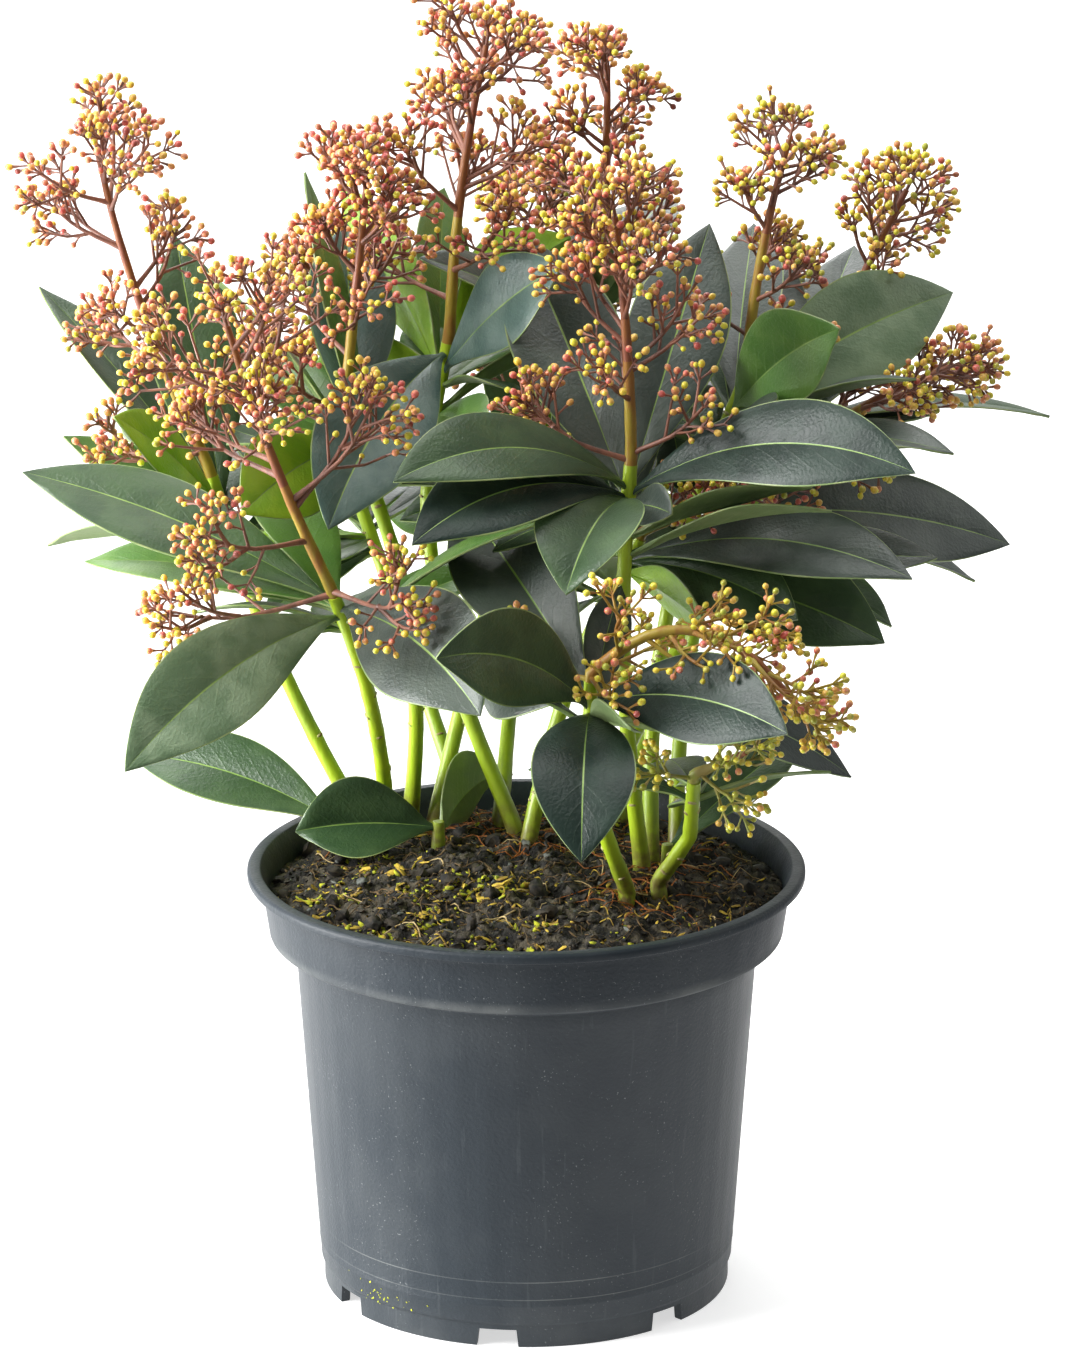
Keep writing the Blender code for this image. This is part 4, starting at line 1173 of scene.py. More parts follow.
@dataclass(frozen=True)
class PlasticFinish(Finish):
    """Moulded pot plastic with dust, scuffs, pale specks, fine seams and faint upright bands."""

    dust: Triple = (0.2, 0.2, 0.19)
    speck: Triple = (0.2, 0.215, 0.22)
    shine: float = 0.30
    bands: float = 46.0
    seams: Span = (0.0158, 0.0216)
    collar: tuple[Span, Span] = ((0.1085, 0.1125), (0.1130, 0.1165))
    foot: float = 0.022

    def seam(self, wiring: Wiring, height: float) -> Socket:
        """Thin line round the pot at a height in m."""
        under = wiring.rest(wiring.height(height + 0.0001, height + 0.0003))
        return wiring.times(wiring.height(height - 0.0002, height), under)

    def dust_share(self, wiring: Wiring) -> Socket:
        """How dusty the plastic is: a film all over, more under the collar, at the foot and in the seams."""
        under, over = self.collar
        ledge = wiring.times(wiring.height(*under), wiring.rest(wiring.height(*over)))
        foot = wiring.times(wiring.rest(wiring.height(0.0, self.foot)), 0.4)
        cloud = wiring.mottle(Scale=38.0, Detail=6.0, Low=0.42, High=0.7)
        seams = wiring.maths("MAXIMUM", *(self.seam(wiring, height) for height in self.seams))
        dusty = wiring.times(wiring.maths("MAXIMUM", ledge, foot), 0.42)
        dusty = wiring.maths("MAXIMUM", dusty, wiring.times(seams, 0.5))
        return wiring.maths("MAXIMUM", wiring.times(cloud, 0.05),
                            wiring.times(dusty, wiring.maths("ADD", cloud, 0.35)))

    def dress(self, wiring: Wiring, shader: Node) -> None:
        """Lay dust, specks and scratches over the wall, and bands, grain and dents in the relief.

        Args:
            wiring: The material's nodes.
            shader: Its Principled shader.
        """
        dusty = self.dust_share(wiring)
        specks = wiring.times(wiring.mottle(Scale=1300.0, Detail=2.0, Low=0.675, High=0.73),
                              wiring.mottle(Scale=34.0, Detail=3.0, Low=0.42, High=0.66))
        streaks = wiring.mottle(Scale=420.0, Detail=4.0, Low=0.63, High=0.72, Stretch=0.06)
        marks = wiring.maths("MAXIMUM", specks, wiring.times(streaks, 0.09))
        tone = wiring.blend(dusty, self.tone(wiring), self.dust)
        wiring.feed(wiring.blend(wiring.times(marks, 0.7), tone, self.speck), shader.inputs["Base Color"])
        shader.inputs["Specular IOR Level"].default_value = self.shine
        wiring.feed(wiring.maths("MULTIPLY_ADD", dusty, 0.8, self.roughness), shader.inputs["Roughness"])
        place = wiring.axes()
        band = wiring.maths("SINE", wiring.times(wiring.maths("ARCTAN2", place["Y"], place["X"]), self.bands))
        grain = wiring.mottle(Scale=900.0, Detail=3.0, Low=0.3, High=0.7)
        dents = wiring.mottle(Scale=30.0, Detail=2.0, Low=0.2, High=0.8, Stretch=0.3)
        height = wiring.maths("ADD", wiring.times(band, 0.10), wiring.times(grain, 0.16))
        self.press(wiring, shader, wiring.maths("ADD", height, wiring.times(dents, 0.9)))


def finishes_of(tints: tuple[tuple[str, Triple, Triple], ...], **common: object) -> list[Material]:
    """Materials of a table of names and pairs of colours that share their other values."""
    return [Finish(name, colour, cloud, **common).make() for name, colour, cloud in tints]


# ---- colours ----
# Colours of the closed buds, materials of the limbs and materials of the stems.
BudTint = Enum("BudTint", "ROSE SALMON OCHRE LIME OLIVE MAROON", start=0)
Wood = Enum("Wood", "GOLD RUST MAUVE GREEN", start=0)
Rind = Enum("Rind", "BARK SCAR", start=0)


class Mood(Enum):
    """How a panicle's buds are coloured: the share of each tint, in the order of BudTint."""

    CRIMSON = (0.38, 0.32, 0.13, 0.08, 0.01, 0.08)
    RUSSET = (0.29, 0.34, 0.20, 0.11, 0.01, 0.05)
    MIXED = (0.19, 0.28, 0.24, 0.24, 0.02, 0.03)
    GOLDEN = (0.10, 0.18, 0.31, 0.32, 0.07, 0.02)
    LEMON = (0.10, 0.14, 0.22, 0.31, 0.21, 0.02)
    YOUNG = (0.02, 0.05, 0.13, 0.46, 0.34, 0.00)


# Lighter tint that a bud's top faces take: partly the bud's own paler top, partly a painted highlight where
# light falls on it.
TOP_TINT_AND_HIGHLIGHT = {BudTint.ROSE: BudTint.SALMON, BudTint.SALMON: BudTint.OCHRE, BudTint.OCHRE: BudTint.LIME,
         BudTint.MAROON: BudTint.ROSE}
MOODS = {
    "far_left": Mood.RUSSET, "left_front": Mood.MIXED, "left_middle": Mood.CRIMSON, "top_left": Mood.RUSSET,
    "top_back": Mood.RUSSET, "front": Mood.MIXED, "right_top": Mood.GOLDEN, "right_back": Mood.GOLDEN,
    "far_right": Mood.GOLDEN, "low_front": Mood.LEMON, "middle": Mood.MIXED, "low_right": Mood.YOUNG,
    "back_left": Mood.RUSSET, "back_middle": Mood.MIXED, "back_right": Mood.GOLDEN,
}
CLUMPS = {
    Clump.LEFT: ("far_left", "left_front", "left_middle", "top_left", "foot_left", "foot_front"),
    Clump.RIGHT: ("front", "right_top", "right_back", "far_right"),
    Clump.LOW: ("low_front", "middle", "low_right", "foot_right"),
    Clump.BACK: ("top_back", "back_left", "back_middle", "back_right"),
}
# Leaves that stand out from their clump's usual tints, many of them darkened with painted shade or lightened
# with painted sheen and light: tint, then shoot and places in its table.
TINTS = {
    (name, place): tint for tint, name, places in (
        (Tint.SLATE, "low_front", (0, 3)), (Tint.SLATE, "left_front", (1,)), (Tint.SLATE, "front", (0, 3)),
        (Tint.DEEP, "front", (1, 5)), (Tint.DEEP, "far_left", (0,)), (Tint.DEEP, "low_front", (1,)),
        (Tint.DEEP, "left_front", (0,)), (Tint.DEEP, "foot_left", (0,)), (Tint.DEEP, "foot_front", (0, 1)),
        (Tint.FRESH, "right_top", (1,)), (Tint.FRESH, "left_front", (2, 4)),
        (Tint.LIT, "far_left", (2,)), (Tint.LIT, "left_middle", (1,)), (Tint.LIT, "top_left", (2, 3, 4)),
        (Tint.LIT, "middle", (1, 3, 5)), (Tint.LIT, "back_left", (4,)),
        (Tint.BLUE, "left_middle", (0,)), (Tint.BLUE, "top_left", (0, 1)),
        (Tint.SAGE, "right_top", (2,)), (Tint.SAGE, "left_front", (3,)),
        (Tint.INK, "low_front", (2, 4, 5)), (Tint.INK, "front", (2, 4)),
    ) for place in places
}
# The right and low clumps lean to the slate tint, partly the leaves' own grey-green and partly painted shade
# on the side away from the key light; the left clump takes greener tints.
USUAL_TINTS = {
    Clump.LEFT: (Tint.DEEP, Tint.DEEP, Tint.FRESH),
    Clump.RIGHT: (Tint.SLATE, Tint.SLATE, Tint.DEEP),
    Clump.LOW: (Tint.SLATE, Tint.DEEP),
    Clump.BACK: (Tint.DEEP, Tint.SLATE, Tint.FRESH),
}


def leaf_finishes() -> list[Material]:
    """Blades in the order of Tint, then underside, rib and margin."""
    # Blade colours by name, colour, cloud and vein: the slate blade is partly painted shade, the ink blade
    # painted shade, the blue and sage blades painted sheen, the lit blade painted light shining through.
    blades = (
        ("leaf_slate", (0.038, 0.053, 0.043), (0.062, 0.081, 0.065), (0.08, 0.11, 0.06)),
        ("leaf_deep", (0.029, 0.062, 0.024), (0.048, 0.09, 0.036), (0.09, 0.16, 0.05)),
        ("leaf_fresh", (0.066, 0.16, 0.026), (0.098, 0.2, 0.036), (0.18, 0.3, 0.06)),
        ("leaf_lit", (0.19, 0.38, 0.014), (0.28, 0.47, 0.024), (0.42, 0.56, 0.08)),
        ("leaf_blue", (0.048, 0.092, 0.078), (0.085, 0.135, 0.115), (0.14, 0.22, 0.15)),
        ("leaf_sage", (0.1, 0.165, 0.08), (0.18, 0.255, 0.145), (0.22, 0.3, 0.14)),
        ("leaf_ink", (0.01, 0.022, 0.016), (0.021, 0.038, 0.028), (0.06, 0.09, 0.05)),
    )
    finishes = [
        BladeFinish(name, colour, cloud, roughness=0.36, coat=0.05, scale=70.0, relief_scale=1000.0,
                    relief=0.35, vein=vein, vein_share=0.12,
                    shine=0.26 if name == "leaf_ink" else 0.44).make()
        for name, colour, cloud, vein in blades
    ]
    finishes.append(BladeFinish("leaf_below", (0.15, 0.225, 0.075), (0.18, 0.25, 0.095), roughness=0.6,
                                scale=80.0, relief_scale=1100.0, relief=0.3, depth=0.0003,
                                vein=(0.24, 0.32, 0.13), vein_share=0.5).make())
    return finishes + finishes_of((
        ("leaf_rib", (0.16, 0.27, 0.055), (0.23, 0.35, 0.08)),
        ("leaf_margin", (0.16, 0.24, 0.07), (0.25, 0.31, 0.115)),
    ), roughness=0.4, coat=0.1)


def bud_finishes() -> list[Material]:
    """Buds in the order of BudTint, then the calyx."""
    finishes = finishes_of((
        ("bud_rose", (0.57, 0.11, 0.09), (0.7, 0.26, 0.12)),
        ("bud_salmon", (0.63, 0.235, 0.12), (0.74, 0.38, 0.095)),
        ("bud_ochre", (0.7, 0.42, 0.085), (0.78, 0.54, 0.055)),
        ("bud_lime", (0.66, 0.62, 0.045), (0.76, 0.56, 0.045)),
        ("bud_olive", (0.38, 0.4, 0.04), (0.48, 0.4, 0.06)),
        ("bud_maroon", (0.32, 0.065, 0.05), (0.43, 0.14, 0.07)),
    ), roughness=0.34, coat=0.25, scale=330.0, levels=(0.45, 0.6), relief_scale=1500.0, relief=0.2,
        depth=0.0002, soft=0.12)
    calyx = Finish("bud_calyx", (0.43, 0.19, 0.09), (0.48, 0.27, 0.08), scale=500.0)
    return finishes + [calyx.make()]


def stalk_finishes() -> list[Material]:
    """Limbs of the panicles in the order of Wood."""
    return finishes_of((
        ("stalk_gold", (0.34, 0.245, 0.022), (0.29, 0.13, 0.02)),
        ("stalk_rust", (0.27, 0.095, 0.024), (0.21, 0.062, 0.03)),
        ("stalk_mauve", (0.25, 0.098, 0.06), (0.15, 0.06, 0.04)),
        ("stalk_green", (0.3, 0.33, 0.05), (0.3, 0.23, 0.06)),
    ), coat=0.1, scale=170.0, levels=(0.42, 0.6), stretch=0.35, relief_scale=1300.0, relief=0.35,
        depth=0.0003)


def stem_finishes() -> list[Material]:
    """Bark and the scars where leaves have fallen, in the order of Rind."""
    bark = BarkFinish("stem_bark", (0.39, 0.54, 0.018), (0.27, 0.4, 0.024), roughness=0.42, coat=0.2,
                      scale=95.0, levels=(0.45, 0.68), stretch=0.3, relief_scale=900.0, relief=0.4)
    scar = Finish("stem_scar", (0.42, 0.4, 0.16), (0.26, 0.19, 0.08), roughness=0.75, scale=600.0)
    return [bark.make(), scar.make()]


# ---- leaves ----
# Leaves that fold more than others.
FOLDS = {("foot_front", 0): 0.75, ("front", 5): 0.5, ("low_front", 0): 0.36}


@dataclass(frozen=True)
class Habit:
    """How one leaf differs from a plain one: shares of its half width, and degrees."""

    fold: float
    curl: float
    twist: float
    bend: float
    wave: float
    phase: float

    @classmethod
    def of(cls, name: str, index: int) -> "Habit":
        """Habit of a shoot's leaf by its place in the whorl."""
        rng = Random(f"{name} habit {index}")
        spans = ((0.14, 0.30), (0.02, 0.14), (-8, 8), (-5, 5), (0.015, 0.05), (0, tau))
        fold, *others = (rng.uniform(*span) for span in spans)
        return cls(FOLDS.get((name, index), fold), *others)


@dataclass(frozen=True)
class Foliage:
    """The leaves of a clump, drawn into a heap; sizes in mm."""

    heap: Heap
    petiole_radius: float = 1.15
    petiole_wall: float = 1.7
    blade_wall: float = 0.6
    tip_half_width: float = 0.12
    rib_below: float = 0.55
    rib_above: float = 0.22

    def points(self, root: Vector, leaf: Leaf, habit: Habit) -> np.ndarray:
        """Points of the leaf stamp laid along a leaf.

        Args:
            root: Where the leaf leaves its shoot.
            leaf: Its direction and size.
            habit: Its own fold, curl and bends.

        Returns:
            The points, in mm.
        """
        lines, sides, faces = [], [], []
        point = Vector(root)
        for row in range(LEAF_ROWS + 1):
            share = row / LEAF_ROWS
            along = heading(leaf.turn + habit.bend * share, leaf.rise - leaf.droop * share)
            side, face = leaf_frame(leaf, along, habit.twist * share)
            lines.append(tuple(point))
            sides.append(tuple(side))
            faces.append(tuple(face))
            half = (row + 0.5) / LEAF_ROWS
            way = heading(leaf.turn + habit.bend * half, leaf.rise - leaf.droop * half)
            point = point + way * (leaf.length / LEAF_ROWS)
        u, share, depth = leaf_stamp().verts.T
        row = np.rint(share * LEAF_ROWS).astype(int)
        outline = np.sin(np.pi * np.clip(share, 0, 1) ** LEAF_WIDEST).clip(0) ** 0.85
        blade = leaf.width / 2 * outline * (1 - 0.22 * share ** 5)
        half = np.maximum(blade, self.petiole_radius * (1 - share) + self.tip_half_width * share)
        spread = np.clip((blade - self.petiole_radius) / 4.0, 0, 1)
        lift = half * spread * (habit.fold * np.abs(u) - habit.curl * u ** 2
                                + habit.wave * np.sin(habit.phase + share * 9 + u) * u ** 2)
        wall = self.blade_wall + (self.petiole_wall - self.blade_wall) * (1 - spread)
        wall = wall * np.where(np.abs(u) > 0.99, 0.6, 1.0) * (1 - 0.5 * share ** 6)
        rib = np.where(np.abs(u) < 0.05, 1.0, 0.0) * (1 - 0.75 * share)
        below, above = -wall / 2 - self.rib_below * rib, wall / 2 - self.rib_above * rib * spread
        height = np.where(depth < -0.5, below, above)
        rounded = np.sqrt(np.clip(1 - (u * (1 - spread)) ** 2 * 0.85, 0.1, 1))
        return (np.array(lines)[row] + (half * u)[:, None] * np.array(sides)[row]
                + (lift + height * rounded)[:, None] * np.array(faces)[row])

    def slots(self, tint: Tint) -> np.ndarray:
        """Material slots of a leaf's faces: leaves with light behind them are as bright below as above."""
        below = tint.value if tint is Tint.LIT else len(Tint)
        return np.array([tint.value, below, len(Tint) + 1, len(Tint) + 2])[leaf_stamp().slots]

    def tint(self, clump: Clump, growth: Growth | LowGrowth, leaf: Leaf, index: int) -> Tint:
        """Tint of a placed leaf, known by its size in the shoot's table: its own in TINTS, or a usual one."""
        for place, other in enumerate(growth.table):
            same_size = (other.length, other.width) == (leaf.length, leaf.width)
            if same_size and (growth.name, place) in TINTS:
                return TINTS[growth.name, place]
        return Random(f"{growth.name} tint {index}").choice(USUAL_TINTS[clump])

    def draw(self, clump: Clump, growth: Growth | LowGrowth) -> None:
        """Draw the leaves of a clump's shoot."""
        verts = leaf_stamp().verts
        uv = np.stack([(verts[:, 0] + 1) / 2, verts[:, 1]], axis=1)
        for index, (root, leaf, _) in enumerate(growth.leaves):
            tint = self.tint(clump, growth, leaf, index)
            points = self.points(root, leaf, Habit.of(growth.name, index))
            self.heap.add(leaf_stamp(), points, self.slots(tint), uv)


# ---- panicles ----
class Crowd:
    """Places taken by buds, kept in a grid so that new ones can keep their distance."""

    CELL = 3.5

    def __init__(self) -> None:
        """Start with no bud."""
        self.cells: dict[tuple[int, int, int], list[tuple[Vector, float]]] = {}

    def cell(self, point: Vector) -> tuple[int, int, int]:
        """Grid cell of a point."""
        return tuple(floor(value / self.CELL) for value in point)

    def is_free(self, point: Vector, radius: float) -> bool:
        """Tell whether a ball touches none of the others."""
        i, j, k = self.cell(point)
        near = product((i - 1, i, i + 1), (j - 1, j, j + 1), (k - 1, k, k + 1))
        return not any((other - point).length < radius + size
                       for cell in near for other, size in self.cells.get(cell, ()))

    def add(self, point: Vector, radius: float) -> None:
        """Take a place."""
        self.cells.setdefault(self.cell(point), []).append((point, radius))


@dataclass
class Panicle:
    """One shoot's panicle drawn out: axis, boughs and twigs, and a bud on each last stalk; sizes in mm."""

    growth: Growth
    stalks: Heap
    buds: Heap
    crowd: Crowd             # buds placed so far
    leaves: BVHTree          # search tree of all leaves, which buds keep off
    top_limit: float = 390.5
    bud_gap: float = 0.3
    axis_root_radius: float = 1.9
    axis_tip_radius: float = 0.9
    axis_steps: int = 16
    bough_steps: int = 6
    bough_tip_radius: float = 0.46
    fork_length: float = 30.0                            # length that a bough forks from
    fork_shares: Span = (0.58, 0.76)
    twig_shares: tuple[float, ...] = (0.42, 0.56, 0.69, 0.82)
    twig_radii: Triple = (0.54, 0.42, 0.38)
    high: float = 260.0                                  # height of the tip from which a panicle is full
    finer_span: Span = (0.38, 0.78)                      # share of the axis that carries finer boughs
    dome_span: Span = (0.72, 0.93)                       # and the boughs of the dome
    dome_boughs: int = 4

    def __post_init__(self) -> None:
        """Choose the colours and start the draws."""
        self.rng = Random(self.growth.name + " buds")
        self.mood = MOODS[self.growth.name]
        self.limb = {Mood.YOUNG: Wood.GREEN, Mood.LEMON: Wood.GOLD}.get(self.mood, Wood.MAUVE)

    def tube(self, points: list[Vector], radii: list[float] | Triple, sides: int) -> None:
        """Add a limb through points."""
        stamp = tube_stamp(sides, len(points) - 1)
        self.stalks.add(stamp, bend_along(stamp, points, radii), self.limb)

    def draw(self) -> None:
        """Draw the whole panicle."""
        self.draw_axis()
        for at, bend, end, radius in self.growth.branches:
            if radius == BRANCH_RADIUS:
                self.draw_bough(at, bend, end, forked=(end - at).length > self.fork_length)
        for at, bend, end in self.finer_boughs():
            self.draw_bough(at, bend, end)
        for at, _, end, radius in self.growth.branches:
            if radius != BRANCH_RADIUS:
                self.draw_twig(at, (end - at).normalized(), (end - at).length * 0.95)

    def finer_boughs(self) -> list[tuple[Vector, Vector, Vector]]:
        """Boughs between the ones of the rule, by the same rule and within the same reach.

        Returns:
            Start, bend and end of each.
        """
        bloom = self.growth.shoot.bloom
        rng = self.rng
        is_high = bloom.tip[2] > self.high
        count = bloom.branches // (3 if is_high else 5)
        first, last = self.finer_span
        plans = []
        for i in range(count + (self.dome_boughs if is_high else 1)):
            in_dome = i >= count
            share = rng.uniform(*self.dome_span) if in_dome else first + (last - first) * (i + 0.5) / count
            at, along = point_on(self.growth.axis, bloom.first + (1 - bloom.first) * 0.98 * share)
            turn = bloom.turn + 180 + GOLDEN_TURN * i + rng.uniform(-15, 15)
            opening = 70 - 30 * share + rng.uniform(-10, 10)
            if in_dome:
                opening = rng.uniform(34, 68)
            way, bend, end = bough_path(
                at, along, turn, radians(opening), sin(radians(bloom.droop)) * (1 - share),
                (bloom.reach - 4.0) * (1.02 - 0.24 * share) * rng.uniform(0.78, 1.05))
            if not self.is_barred(at + way * 3, bend) and not self.is_barred(bend, end):
                plans.append((at, bend, end))
        return plans

    def draw_axis(self) -> None:
        """Draw the axis, gold below and rust above."""
        start = self.growth.axis[0] - self.growth.lead * 1.5
        steps = self.axis_steps
        line = smooth_line([start] + self.growth.axis[1:], steps)
        widening = self.axis_tip_radius - self.axis_root_radius
        radii = [(self.axis_root_radius + widening * (i / steps) ** 1.2) * (1 + 0.05 * sin(i * 2.4))
                 for i in range(steps + 1)]
        stamp = tube_stamp(10, steps)
        rust = 0.45 if self.mood in (Mood.CRIMSON, Mood.RUSSET, Mood.MIXED) else 0.6
        levels = np.array([np.mean([stamp.verts[i][2] for i in face]) for face in stamp.faces])
        low = Wood.GREEN if self.mood is Mood.YOUNG else Wood.GOLD
        slots = np.where(levels < rust, low.value, Wood.RUST.value).astype(np.int32)
        self.stalks.add(stamp, bend_along(stamp, line, radii), slots)

    def draw_bough(self, at: Vector, bend: Vector, end: Vector, forked: bool = False) -> None:
        """Draw a bough with its twigs and the fan of buds at its end.

        Args:
            at: Where it leaves the axis.
            bend: Where it turns up.
            end: Its end.
            forked: Whether smaller boughs grow out of it.
        """
        rng = self.rng
        length = (end - at).length
        start = at - (bend - at).normalized() * 0.5
        line = smooth_line([start, bend, end], self.bough_steps)
        stout = min(0.92, 0.52 + length * 0.012)
        radii = [stout * (1.3 if i == 0 else 1.0) - (stout - self.bough_tip_radius) * i / self.bough_steps
                 for i in range(self.bough_steps + 1)]
        self.tube(line, radii, 8)
        for share in self.fork_shares if forked else ():
            place, along = point_on(line, share)
            side, other = across(along)
            angle = rng.uniform(0, tau)
            way = (0.8 * along + 0.6 * cos(angle) * side + 0.5 * sin(angle) * other).normalized()
            fork = place + way * length * 0.24
            tip = fork + (way + 0.4 * UP).normalized() * length * 0.2
            if not self.is_barred(place + way, fork) and not self.is_barred(fork, tip):
                self.draw_bough(place, fork, tip)
        turn = rng.uniform(0, 360)
        for share in self.twig_shares if length > 14 else self.twig_shares[2:]:
            place, along = point_on(line, share)
            turn += GOLDEN_TURN
            out = sideways(along, radians(turn))
            opening = radians(rng.uniform(36, 56))
            way = (cos(opening) * along + sin(opening) * out + 0.1 * UP).normalized()
            reach = min(19.0, length * 0.58) * (1.2 - 0.6 * share) * rng.uniform(0.8, 1.15)
            self.draw_twig(place, way, reach)
        self.draw_fan(end, (end - bend).normalized(), 4)

    def draw_twig(self, start: Vector, way: Vector, length: float) -> None:
        """Draw a twig with buds along it and a small fan at its end.

        Args:
            start: Where it leaves its bough.
            way: Its direction.
            length: Its length in mm.
        """
        rng = self.rng
        if self.is_barred(start, start + way * (length + 2)):
            return
        curve = (way + 0.35 * UP * rng.uniform(-0.2, 1.0)).normalized()
        middle = start + way * length * 0.5
        end = middle + curve * length * 0.5
        self.tube([start - way * 0.3, middle, end], self.twig_radii, 6)
        turn = rng.uniform(0, 360)
        for share in ((0.45, 0.72) if length > 6 else (0.6,)):
            turn += GOLDEN_TURN
            out = sideways(curve, radians(turn))
            place = middle.lerp(end, share) if share > 0.5 else start.lerp(middle, share * 1.8)
            away = (out + 0.75 * curve).normalized()
            self.draw_bud(place, away, rng.uniform(2.6, 4.6), rng.uniform(0.95, 1.25))
        self.draw_fan(end, curve, rng.choice((2, 3, 3)))

    def draw_fan(self, centre: Vector, way: Vector, count: int) -> None:
        """Draw a bud on the end of a limb that goes some way, and a count of others fanned out round it."""
        rng = self.rng
        self.draw_bud(centre, way, rng.uniform(2.0, 3.4), rng.uniform(1.1, 1.35))
        first = rng.uniform(0, tau)
        for k in range(count):
            out = sideways(way, first + tau * k / count + rng.uniform(-0.3, 0.3))
            spread = rng.uniform(0.7, 1.3)
            self.draw_bud(centre - way * 0.3, (way + spread * out).normalized(), rng.uniform(2.8, 4.8),
                          rng.uniform(0.95, 1.28))

    def is_barred(self, start: Vector, end: Vector) -> bool:
        """Tell whether a leaf is in the way between two points."""
        gap = end - start
        return self.leaves.ray_cast(start, gap.normalized(), gap.length)[0] is not None

    def draw_bud(self, start: Vector, way: Vector, length: float, radius: float) -> None:
        """Draw a bud on its stalk, if there is room for it.

        Args:
            start: Where the stalk leaves its limb.
            way: Its direction.
            length: The stalk's length in mm.
            radius: The bud's radius in mm.
        """
        rng = self.rng
        tall = rng.uniform(1.0, 1.18)
        tint = rng.choices(list(BudTint), self.mood.value)[0]
        for tried in (length, length + 1.5, length + 3.2):
            centre = start + way * (tried + radius * 0.8 * tall)
            if centre.z > self.top_limit or not self.crowd.is_free(centre, radius + self.bud_gap):
                continue
            if self.is_barred(start, centre) or self.leaves.find_nearest(centre, radius + 0.3)[0] is not None:
                return
            self.crowd.add(centre, radius)
            if tint in (BudTint.LIME, BudTint.OLIVE):
                radius = radius * 0.92
            neck = start + way * tried
            middle = start.lerp(neck, 0.55) + 0.12 * tried * UP * rng.uniform(-0.6, 0.6)
            self.tube([start, middle, neck], [0.32, 0.29, radius * 0.48], 5)
            stamp = bud_stamp()
            # The top faces take a lighter tint, partly the bud's own colour and partly painted highlight.
            slots = np.array([tint.value, len(BudTint), TOP_TINT_AND_HIGHLIGHT.get(tint, tint).value], np.int32)[stamp.slots]
            points = stand_at(stamp, centre, way, (radius, radius, radius * tall), rng.uniform(0, tau))
            self.buds.add(stamp, points, slots)
            return


# ---- stems ----
@dataclass(frozen=True)
class Stems:
    """The stems of a clump, drawn into a heap; sizes in mm."""

    heap: Heap
    root_radius: float = 2.45
    top_radius: float = 2.05
    flare: float = 0.9
    steps: int = 34
    scars: int = 13
    scar_shares: Span = (0.16, 0.95)
    sunk: float = 7.0                # how far a stem reaches into the peat
    low_sunk: float = 5.0

    def draw(self, growth: Growth) -> None:
        """Draw a stem from under the peat to its crown, with the scars of fallen leaves.

        Args:
            growth: The shoot, worked out.
        """
        rng = Random(growth.name + " bark")
        sunk = [growth.stem[0] - UP * self.sunk] + growth.stem[:-1] + growth.whorl[1:]
        line = smooth_line(sunk + [growth.crown + growth.lead * 0.8], self.steps)
        scars = sorted(rng.uniform(*self.scar_shares) for _ in range(self.scars))
        radii = []
        for i in range(self.steps + 1):
            share = i / self.steps
            radius = self.root_radius + (self.top_radius - self.root_radius) * share
            radius += self.flare * exp(-share * 14)
            near = min(abs(share - scar) for scar in scars)
            radii.append(radius * (1 + 0.07 * exp(-(near * 70) ** 2) + rng.uniform(-0.015, 0.015)))
        stamp = tube_stamp(16, self.steps)
        self.heap.add(stamp, bend_along(stamp, line, radii), Rind.BARK)
        turn = rng.uniform(0, 360)
        for scar in scars:
            place, along = point_on(line, scar)
            turn += GOLDEN_TURN
            out = sideways(along, radians(turn))
            lump = pebble_stamp(rng.randrange(4), 0.12)
            basis = np.array([tuple(along.cross(out)), tuple(along), tuple(out)])
            points = lump.verts * np.array((rng.uniform(1.2, 1.7), rng.uniform(0.45, 0.8), 0.5)) @ basis
            radius = radii[min(self.steps, round(scar * self.steps))]
            self.heap.add(lump, points + np.array(tuple(place + out * (radius - 0.18))), Rind.SCAR)

    def draw_low(self, growth: LowGrowth) -> None:
        """Draw the short shoot under a few low leaves."""
        base, top = growth.twig
        line = smooth_line([base - UP * self.low_sunk, base, top + UP * 0.6], 8)
        stamp = tube_stamp(12, 8)
        self.heap.add(stamp, bend_along(stamp, line, [LOW_SHOOT_RADIUS * (1.2 - 0.05 * i) for i in range(9)]),
                      Rind.BARK)


# ---- pot ----
def spun_shell(profile: list[Span], steps: int) -> bmesh.types.BMesh:
    """Spin a profile whose ends lie on the axis full circle.

    Args:
        profile: Radii and heights in mm.
        steps: Divisions round the circle.

    Returns:
        The closed shell, in mm.
    """
    work = bmesh.new()
    verts = [bmesh.ops.create_vert(work, co=(radius, 0.0, height))["vert"][0] for radius, height in profile]
    edges = [work.edges.new(pair) for pair in zip(verts, verts[1:])]
    bmesh.ops.spin(work, geom=verts + edges, axis=(0, 0, 1), cent=(0, 0, 0), angle=tau, steps=steps,
                   use_merge=True)
    bmesh.ops.remove_doubles(work, verts=work.verts, dist=1e-3)
    bmesh.ops.recalc_face_normals(work, faces=work.faces)
    return work


def object_of(name: str, work: bmesh.types.BMesh) -> Object:
    """Object of a bmesh in mm, scaled to metres."""
    bmesh.ops.scale(work, vec=(MM, MM, MM), verts=work.verts)
    mesh = bpy.data.meshes.new(name)
    work.to_mesh(mesh)
    work.free()
    return link(name, mesh)


